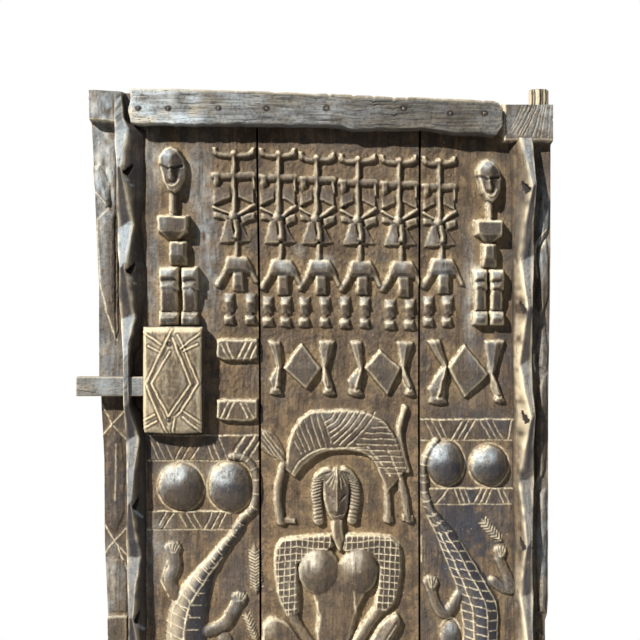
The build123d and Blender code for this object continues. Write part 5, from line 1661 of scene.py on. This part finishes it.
# painted shade in the split at the free end
paint(bolt_mesh, worn=unit(bell(bolt_edge / 1.8) + 0.2 * bolt_grain), hollow=unit(split),
      gloss=0.5 * ease((from_end - 0.03) / 0.03),
      silver=unit((0.3 + 0.7 * cloud(bx.shape, (9, 14), 121)) * greyed),
      shade=unit((cloud(bx.shape, (7, 10), 122) - 0.1) * soiled))
bolt_bar = new_piece("bolt_bar", bolt_mesh, "bolt", "bolt_wood", "lock_bolt")
bolt_middle = (bolt_low[1] + bolt_high[1]) / 2
channel_top = bolt_high[2] - PIN_DROP
carve_with(bolt_bar, block((bolt_high[0] - KEY_LENGTH, bolt_middle - KEY_ROOM / 2, channel_top - KEY_ROOM),
                           (bolt_high[0] + 0.01, bolt_middle + KEY_ROOM / 2, channel_top)))
for low, high in pin_boxes:
    middle = (low[0] + high[0]) / 2 + BOLT_HOME
    sides = [(place - PIN_SIZE / 2 - PIN_PLAY, place + PIN_SIZE / 2 + PIN_PLAY)
             for place in (middle, bolt_middle)]
    carve_with(bolt_bar, block((sides[0][0], sides[1][0], channel_top - 0.001),
                               (sides[0][1], sides[1][1], bolt_high[2] + 0.01)))
print("bolt faces:", len(bolt_bar.data.polygons))
lock_nail_pieces = nails("lock_nail_heads", nail_places("lock_nails", 2), lock_high - 4.6, "lock_nails")

# %% [markdown]
# ## Finishes as node groups
# All the wood shares three effects: the fibre of the grain, the wear on what stands out, and painted shade in
# what lies back. The grain is one node group, and the wear and the painted shade share another; each gives
# only masks and values, and each wood then mixes its own colours with them. Grain is noise squeezed along one
# axis; an axis mapping turns it for the battens.

# %% Node groups
bench = []


def put_on_bench(tree):
    """The tree that the helpers below add to, until the next one is put there."""
    bench[:] = [tree]
    return tree


def new_group(name, inputs, outputs):
    """An empty shader group on the bench, with named sockets. An input is (name, default), and the default
    None makes it a vector."""
    group = put_on_bench(bpy.data.node_groups.new(name, "ShaderNodeTree"))
    for label, default in inputs:
        kind = "NodeSocketVector" if default is None else "NodeSocketFloat"
        socket = group.interface.new_socket(name=label, in_out="INPUT", socket_type=kind)
        if default is not None:
            socket.default_value = default
    for label in outputs:
        group.interface.new_socket(name=label, in_out="OUTPUT", socket_type="NodeSocketFloat")
    entry = group.nodes.new("NodeGroupInput")
    leave = group.nodes.new("NodeGroupOutput")
    return group, entry.outputs, leave.inputs


def feed(socket, value):
    """Links a value that comes from a node, or sets a plain one."""
    if isinstance(value, bpy.types.NodeSocket):
        bench[0].links.new(value, socket)
    else:
        socket.default_value = value


def add_node(kind, settings=None, **links):
    """A node with its settings, and with sockets (spaces as underscores, or i and a number) fed."""
    node = bench[0].nodes.new("ShaderNode" + kind)
    for key, value in (settings or {}).items():
        setattr(node, key, value)
    for label, value in links.items():
        numbered = label[0] == "i" and label[1:].isdigit()
        feed(node.inputs[int(label[1:])] if numbered else node.inputs[label.replace("_", " ")], value)
    return node


def math_node(operation, first, second, clamp=False):
    """The value of one operation on two values, held between 0 and 1 if asked."""
    return add_node("Math", {"operation": operation, "use_clamp": clamp}, i0=first, i1=second).outputs[0]


def times(first, second, clamp=False):
    """The first value times the second."""
    return math_node("MULTIPLY", first, second, clamp)


def plus(first, second, clamp=False):
    """The first value plus the second."""
    return math_node("ADD", first, second, clamp)


def minus(first, second, clamp=False):
    """The first value less the second."""
    return math_node("SUBTRACT", first, second, clamp)


def ramp(value, low, high):
    """A soft step from 0 at low to 1 at high."""
    return add_node("MapRange", {"interpolation_type": "SMOOTHSTEP"}, Value=value, From_Min=low,
                    From_Max=high).outputs[0]


def noise(vector, scale, detail=4.0, roughness=0.55):
    """Fractal noise at a vector: sums of ever finer waves, each weaker than the last by the roughness."""
    return add_node("TexNoise", None, Vector=vector, Scale=scale, Detail=detail,
                    Roughness=roughness).outputs["Fac"]


def fibre_group():
    """Grain along Z: fine streaks, broad bands, patches and thin cracks, all from noise that is squeezed
    along the grain after a slow warp, so that the fibres swim a little."""
    group, entry, leave = new_group("wood_fibre", (("Vector", None), ("Length", 0.06)),
                                    ("Streak", "Band", "Patch", "Crack", "Grit"))
    slow = add_node("TexNoise", None, Vector=entry["Vector"], Scale=5.0, Detail=2.0).outputs["Color"]
    shift = add_node("VectorMath", {"operation": "SCALE"}, Vector=slow, Scale=0.02).outputs[0]
    swum = add_node("VectorMath", {"operation": "ADD"}, i0=entry["Vector"], i1=shift).outputs[0]
    squeeze = add_node("CombineXYZ", None, X=1.0, Y=1.0, Z=entry["Length"]).outputs[0]
    along = add_node("VectorMath", {"operation": "MULTIPLY"}, i0=swum, i1=squeeze).outputs[0]
    feed(leave["Streak"], noise(along, 270.0, 5.0, 0.62))
    feed(leave["Band"], noise(along, 75.0, 3.0, 0.5))
    feed(leave["Patch"], noise(swum, 11.0, 4.0, 0.6))
    feed(leave["Grit"], noise(entry["Vector"], 900.0, 3.0, 0.7))
    thin = noise(along, 150.0, 2.0, 0.45)
    line = ramp(math_node("ABSOLUTE", minus(thin, 0.5), 0.0), 0.012, 0.0)
    feed(leave["Crack"], times(line, ramp(noise(swum, 23.0, 2.0), 0.52, 0.62)))
    return group


def wear_and_shade_group():
    """From the stored masks and the grain: how pale a place is rubbed, and how dark the painted shade in its
    hollows is.
    """
    group, entry, leave = new_group(
        "wear_and_hollow_shade", (("Worn", 0.0), ("Hollow", 0.0), ("Streak", 0.5), ("Patch", 0.5), ("Wear", 1.0),
                      ("ShadeStrength", 1.0)), ("Pale", "Dark"))
    broken = plus(times(entry["Streak"], 0.8), 0.25)
    feed(leave["Pale"], times(times(entry["Worn"], broken), entry["Wear"], True))
    lifted = plus(times(entry["Patch"], 0.7), 0.6)
    feed(leave["Dark"], times(times(entry["Hollow"], lifted), entry["ShadeStrength"], True))
    return group


fibre, wear_and_shade_tree = fibre_group(), wear_and_shade_group()
print("node groups:", fibre.name, wear_and_shade_tree.name)

# %% Wood and iron


def tone(red, green, blue):
    """A colour chosen on the screen's scale of 0 to 255, as the linear values that shaders use."""
    linear = [((c / 255 + 0.055) / 1.055) ** 2.4 if c > 10 else c / 255 / 12.92 for c in (red, green, blue)]
    return *linear, 1.0


def darker(share, colour):
    """A colour of which only a share of the light is left."""
    return [share * c for c in colour]


def mix(share, first, second):
    """From the first colour to the second by a share."""
    node = add_node("Mix", {"data_type": "RGBA"})
    for socket, value in zip([s for s in node.inputs if s.enabled], (share, first, second)):
        feed(socket, value)
    return [s for s in node.outputs if s.enabled][0]


def new_material(name):
    """A material whose tree is put on the bench, and its shader's sockets."""
    material = bpy.data.materials.new(name)
    material.use_nodes = True
    put_on_bench(material.node_tree)
    return material, material.node_tree.nodes["Principled BSDF"].inputs


def wood(name, deep, body, light, pale, haze_and_painted_sheen, dusty, patina, silver, handled_and_shaded, turn=(0, 0, 0), length=0.06,
         haze=0.5, roughness=(0.34, 0.8), bump=0.35):
    """Colour, from the ground up: deep to body by the streaks, to light by the bands; dusty in broad hollows;
    patina where hands polish what stands out; a grey-blue haze in patches, and a painted reflection where the
    polished patina faces the light; dark with handling and stains, and painted shade where the wood is turned
    from the sun; bleached grey, and painted highlights; pale where it is worn or freshly cut, and as a
    painted highlight on slopes that face the sun; and nearly black in cracks, with painted shade in crevices."""
    material, shader = new_material(name)
    turned = add_node("Mapping", None, Vector=add_node("TexCoord").outputs["Object"],
                      Rotation=turn).outputs[0]
    grain = add_node("Group", {"node_tree": fibre}, Vector=turned, Length=length).outputs
    worn, hollow, dust, cut_open, gloss, facing, bleach_and_highlight_mask, shade, warm = [
        add_node("Attribute", {"attribute_name": key}).outputs["Fac"] for key in MASKS]
    # pale wear on what stands out, and painted shade in the hollows
    worn_and_shaded = add_node("Group", {"node_tree": wear_and_shade_tree}, Worn=worn, Hollow=hollow, Streak=grain["Streak"],
                   Patch=grain["Patch"]).outputs
    layers = [tone(*deep)]

    def lay(share, colour):
        """Lays a colour over those below: three numbers of the screen's scale, or a socket."""
        plain = not isinstance(colour, bpy.types.NodeSocket)
        layers.append(mix(share, layers[-1], tone(*colour) if plain else colour))

    def browned(colour, brown):
        """A colour that turns to its brown where the middle plank is warm."""
        return mix(browner, tone(*colour), tone(*brown))

    lay(ramp(grain["Streak"], 0.38, 0.6), body)
    lay(times(ramp(grain["Band"], 0.46, 0.62), 0.8), light)
    lay(times(warm, 0.24), (140, 112, 80))
    lay(times(ramp(grain["Band"], 0.52, 0.4), times(warm, 0.5)), deep)
    mottle = ramp(noise(turned, 38.0, 6.0, 0.65), 0.44, 0.58)
    lay(times(mottle, 0.72), darker(0.58, body))
    fleck = noise(turned, 170.0, 5.0, 0.7)
    clouds = ramp(grain["Patch"], 0.4, 0.64)
    lay(times(plus(times(clouds, 0.5), 0.4), dust), dusty)
    lay(times(gloss, 0.8), patina)
    # a grey-blue haze in patches, and a painted reflection on polished slopes that face the light
    misty = times(times(clouds, haze), minus(1.0, dust))
    painted_reflection = times(times(ramp(facing, 0.0, 0.6), 0.6), gloss)
    haze_and_sheen_share = plus(painted_reflection, misty, True)
    browner = times(warm, 0.8)
    lay(haze_and_sheen_share, browned(haze_and_painted_sheen, (112, 96, 74)))
    # dark with handling and stains, together with painted shade where the wood is turned from the sun
    lay(times(shade, 0.85), browned(handled_and_shaded, (48, 36, 25)))
    # bleached grey, together with painted highlights
    bleach_and_highlight_share = times(plus(times(grain["Streak"], 0.9), 0.4), bleach_and_highlight_mask)
    lay(times(bleach_and_highlight_share, 1.0, True), browned(silver, (206, 194, 170)))
    lay(times(ramp(fleck, 0.5, 0.7), minus(0.75, times(bleach_and_highlight_mask, 0.45))), darker(0.8, deep))
    lay(times(ramp(fleck, 0.37, 0.26), 0.3), pale)
    # painted highlight: slopes that face the sun take on the pale colour
    painted_highlight = times(ramp(facing, 0.3, 1.0), plus(times(ramp(fleck, 0.56, 0.4), 0.7), 0.2))
    lay(times(painted_highlight, 0.8), pale)
    lay(worn_and_shaded["Pale"], pale)
    lay(times(cut_open, 0.75), pale)
    crazed = add_node("TexVoronoi", {"feature": "DISTANCE_TO_EDGE"}, Vector=turned, Scale=85.0,
                      Detail=2.0).outputs["Distance"]
    crazing = times(times(ramp(crazed, 0.035, 0.0), ramp(gloss, 0.7, 0.95)), clouds)
    # nearly black in cracks and crazing, and painted shade in the hollows
    dark = math_node("MAXIMUM", worn_and_shaded["Dark"], times(grain["Crack"], 0.8))
    lay(math_node("MAXIMUM", dark, times(crazing, 0.7)), darker(0.36, deep))
    feed(shader["Base Color"], layers[-1])
    dull = minus(1.0, plus(times(gloss, 0.8), times(haze_and_sheen_share, 0.3)), True)
    rough = plus(times(dull, 0.8), times(grain["Streak"], 0.25))
    feed(shader["Roughness"], add_node("MapRange", None, Value=rough, To_Min=roughness[0],
                                       To_Max=roughness[1]).outputs[0])
    height = minus(plus(times(grain["Streak"], 0.6), times(grain["Band"], 0.8)), times(grain["Crack"], 0.9))
    height = minus(plus(height, times(grain["Grit"], 0.12)), times(ramp(fleck, 0.45, 0.7), 0.5))
    feed(shader["Normal"], add_node("Bump", None, Strength=bump, Distance=0.0022, Height=height).outputs[0])
    return material


LEVEL = (0, math.pi / 2, 0)
plank_wood = wood("plank_wood", (54, 41, 28), (84, 67, 48), (106, 87, 62), (240, 224, 190), (100, 102, 102),
                  (144, 122, 86),
                  (62, 53, 42), (150, 162, 170), (32, 36, 48), haze=0.16, bump=0.5)
batten_wood = wood("batten_wood", (48, 43, 37), (84, 77, 68), (112, 104, 90), (196, 182, 154),
                   (98, 104, 110), (118, 106, 86),
                   (66, 62, 56), (178, 188, 194), (48, 41, 34), turn=LEVEL, length=0.05, haze=0.4,
                   roughness=(0.45, 0.85), bump=0.8)
lock_wood = wood("lock_wood", (80, 66, 48), (118, 101, 77), (140, 123, 96), (212, 196, 162), (118, 116, 110),
                 (132, 110, 80),
                 (78, 65, 50), (184, 176, 160), (44, 38, 32), haze=0.3, bump=0.5)
bolt_wood = wood("bolt_wood", (78, 68, 54), (112, 102, 84), (136, 124, 102), (188, 174, 148),
                 (104, 112, 120), (126, 110, 84),
                 (84, 80, 74), (134, 142, 146), (56, 54, 54), turn=LEVEL, length=0.05, haze=0.4, bump=0.6)


def iron(name):
    """Old iron: near black, with rust in patches and a rough skin."""
    material, shader = new_material(name)
    place = add_node("TexCoord").outputs["Object"]
    patch = noise(place, 240.0, 5.0, 0.65)
    feed(shader["Base Color"], mix(ramp(patch, 0.42, 0.6), tone(66, 64, 62), tone(112, 98, 86)))
    feed(shader["Metallic"], ramp(patch, 0.75, 0.4))
    feed(shader["Roughness"], add_node("MapRange", None, Value=patch, To_Min=0.4, To_Max=0.85).outputs[0])
    feed(shader["Normal"], add_node("Bump", None, Strength=0.5, Distance=0.0008,
                                    Height=noise(place, 700.0)).outputs[0])
    return material


forged_iron = iron("forged_iron")


def dress(material, *pieces):
    """Puts one material on each piece's only slot."""
    for piece in pieces:
        piece.data.materials.clear()
        piece.data.materials.append(material)


dress(plank_wood, *plank_pieces, *ridge_pieces, *stub_pieces)
dress(batten_wood, top_batten, bottom_batten)
dress(lock_wood, lock_block)
dress(bolt_wood, bolt_bar)
dress(forged_iron, top_nails, bottom_nails, lock_nail_pieces)
for name in ("tumbler_outer", "tumbler_middle", "tumbler_inner"):
    dress(forged_iron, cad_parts[name])
print("materials:", [material.name for material in bpy.data.materials])

# %% [markdown]
# ## Light, floor and camera
# A low sun from the upper left draws the relief, and a pale sky fills the shadows. The camera looks square
# at the upper part of the door through a long lens, from so far that 640 steps of its frame are 640 squares
# of the sheet.

# %% Stage
LENS = 60.0
SENSOR = 36.0
FRAME_SQUARES = 640
VIEW_COLUMN, VIEW_ROW = 320, 320


def place_in_scene(name, data):
    """An object of the stage, linked into the scene."""
    thing = bpy.data.objects.new(name, data)
    bpy.context.scene.collection.objects.link(thing)
    return thing


def sun(name, energy, degrees, colour, toward):
    """A sun that shines from a direction, with soft shadows as wide as its angle."""
    light = bpy.data.lights.new(name, "SUN")
    light.energy, light.angle, light.color = energy, math.radians(degrees), colour
    x, y, z = toward
    place_in_scene(name, light).rotation_euler = (math.acos(z / np.linalg.norm(toward)), 0,
                                                  math.atan2(y, x) + math.pi / 2)


lens = bpy.data.cameras.new("door_camera")
lens.lens, lens.sensor_width = LENS, SENSOR
camera = place_in_scene("door_camera", lens)
camera.location = (across(VIEW_COLUMN), face_y - FRAME_SQUARES * SQUARE * LENS / SENSOR, up(VIEW_ROW))
camera.rotation_euler = (math.pi / 2, 0, 0)
bpy.context.scene.camera = camera
sun("sun", 8.2, 2, (1.0, 0.955, 0.88), (-0.88, -1.0, 0.9))
sun("light_from_a_wall", 1.8, 25, (1.0, 0.92, 0.80), (0.8, 1.0, 0.55))

world = bpy.data.worlds.new("sky")
world.use_nodes = True
bpy.context.scene.world = world
put_on_bench(world.node_tree)
height_of_sky = add_node("SeparateXYZ", None, Vector=add_node("TexCoord").outputs["Generated"]).outputs["Z"]
open_sky = mix(ramp(height_of_sky, -0.35, 0.75), (0.07, 0.052, 0.036, 1), (0.30, 0.38, 0.50, 1))
seen = add_node("LightPath").outputs["Is Camera Ray"]
feed(world.node_tree.nodes["Background"].inputs["Color"], mix(seen, open_sky, (1, 1, 1, 1)))

FLOOR_REACH = 1.8
floor_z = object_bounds()[0][2] - 0.001
floor_mesh = bpy.data.meshes.new("floor")
corners = [(x * FLOOR_REACH, y * FLOOR_REACH, floor_z) for x, y in ((-1, -1), (1, -1), (1, 1), (-1, 1))]
floor_mesh.from_pydata(corners, [], [(0, 1, 2, 3)])
floor = place_in_scene("floor", floor_mesh)
floor_paint, floor_sockets = new_material("floor_paint")
floor_sockets["Base Color"].default_value = (0.55, 0.54, 0.52, 1)
floor_mesh.materials.append(floor_paint)
bpy.context.scene.view_settings.view_transform = "Standard"
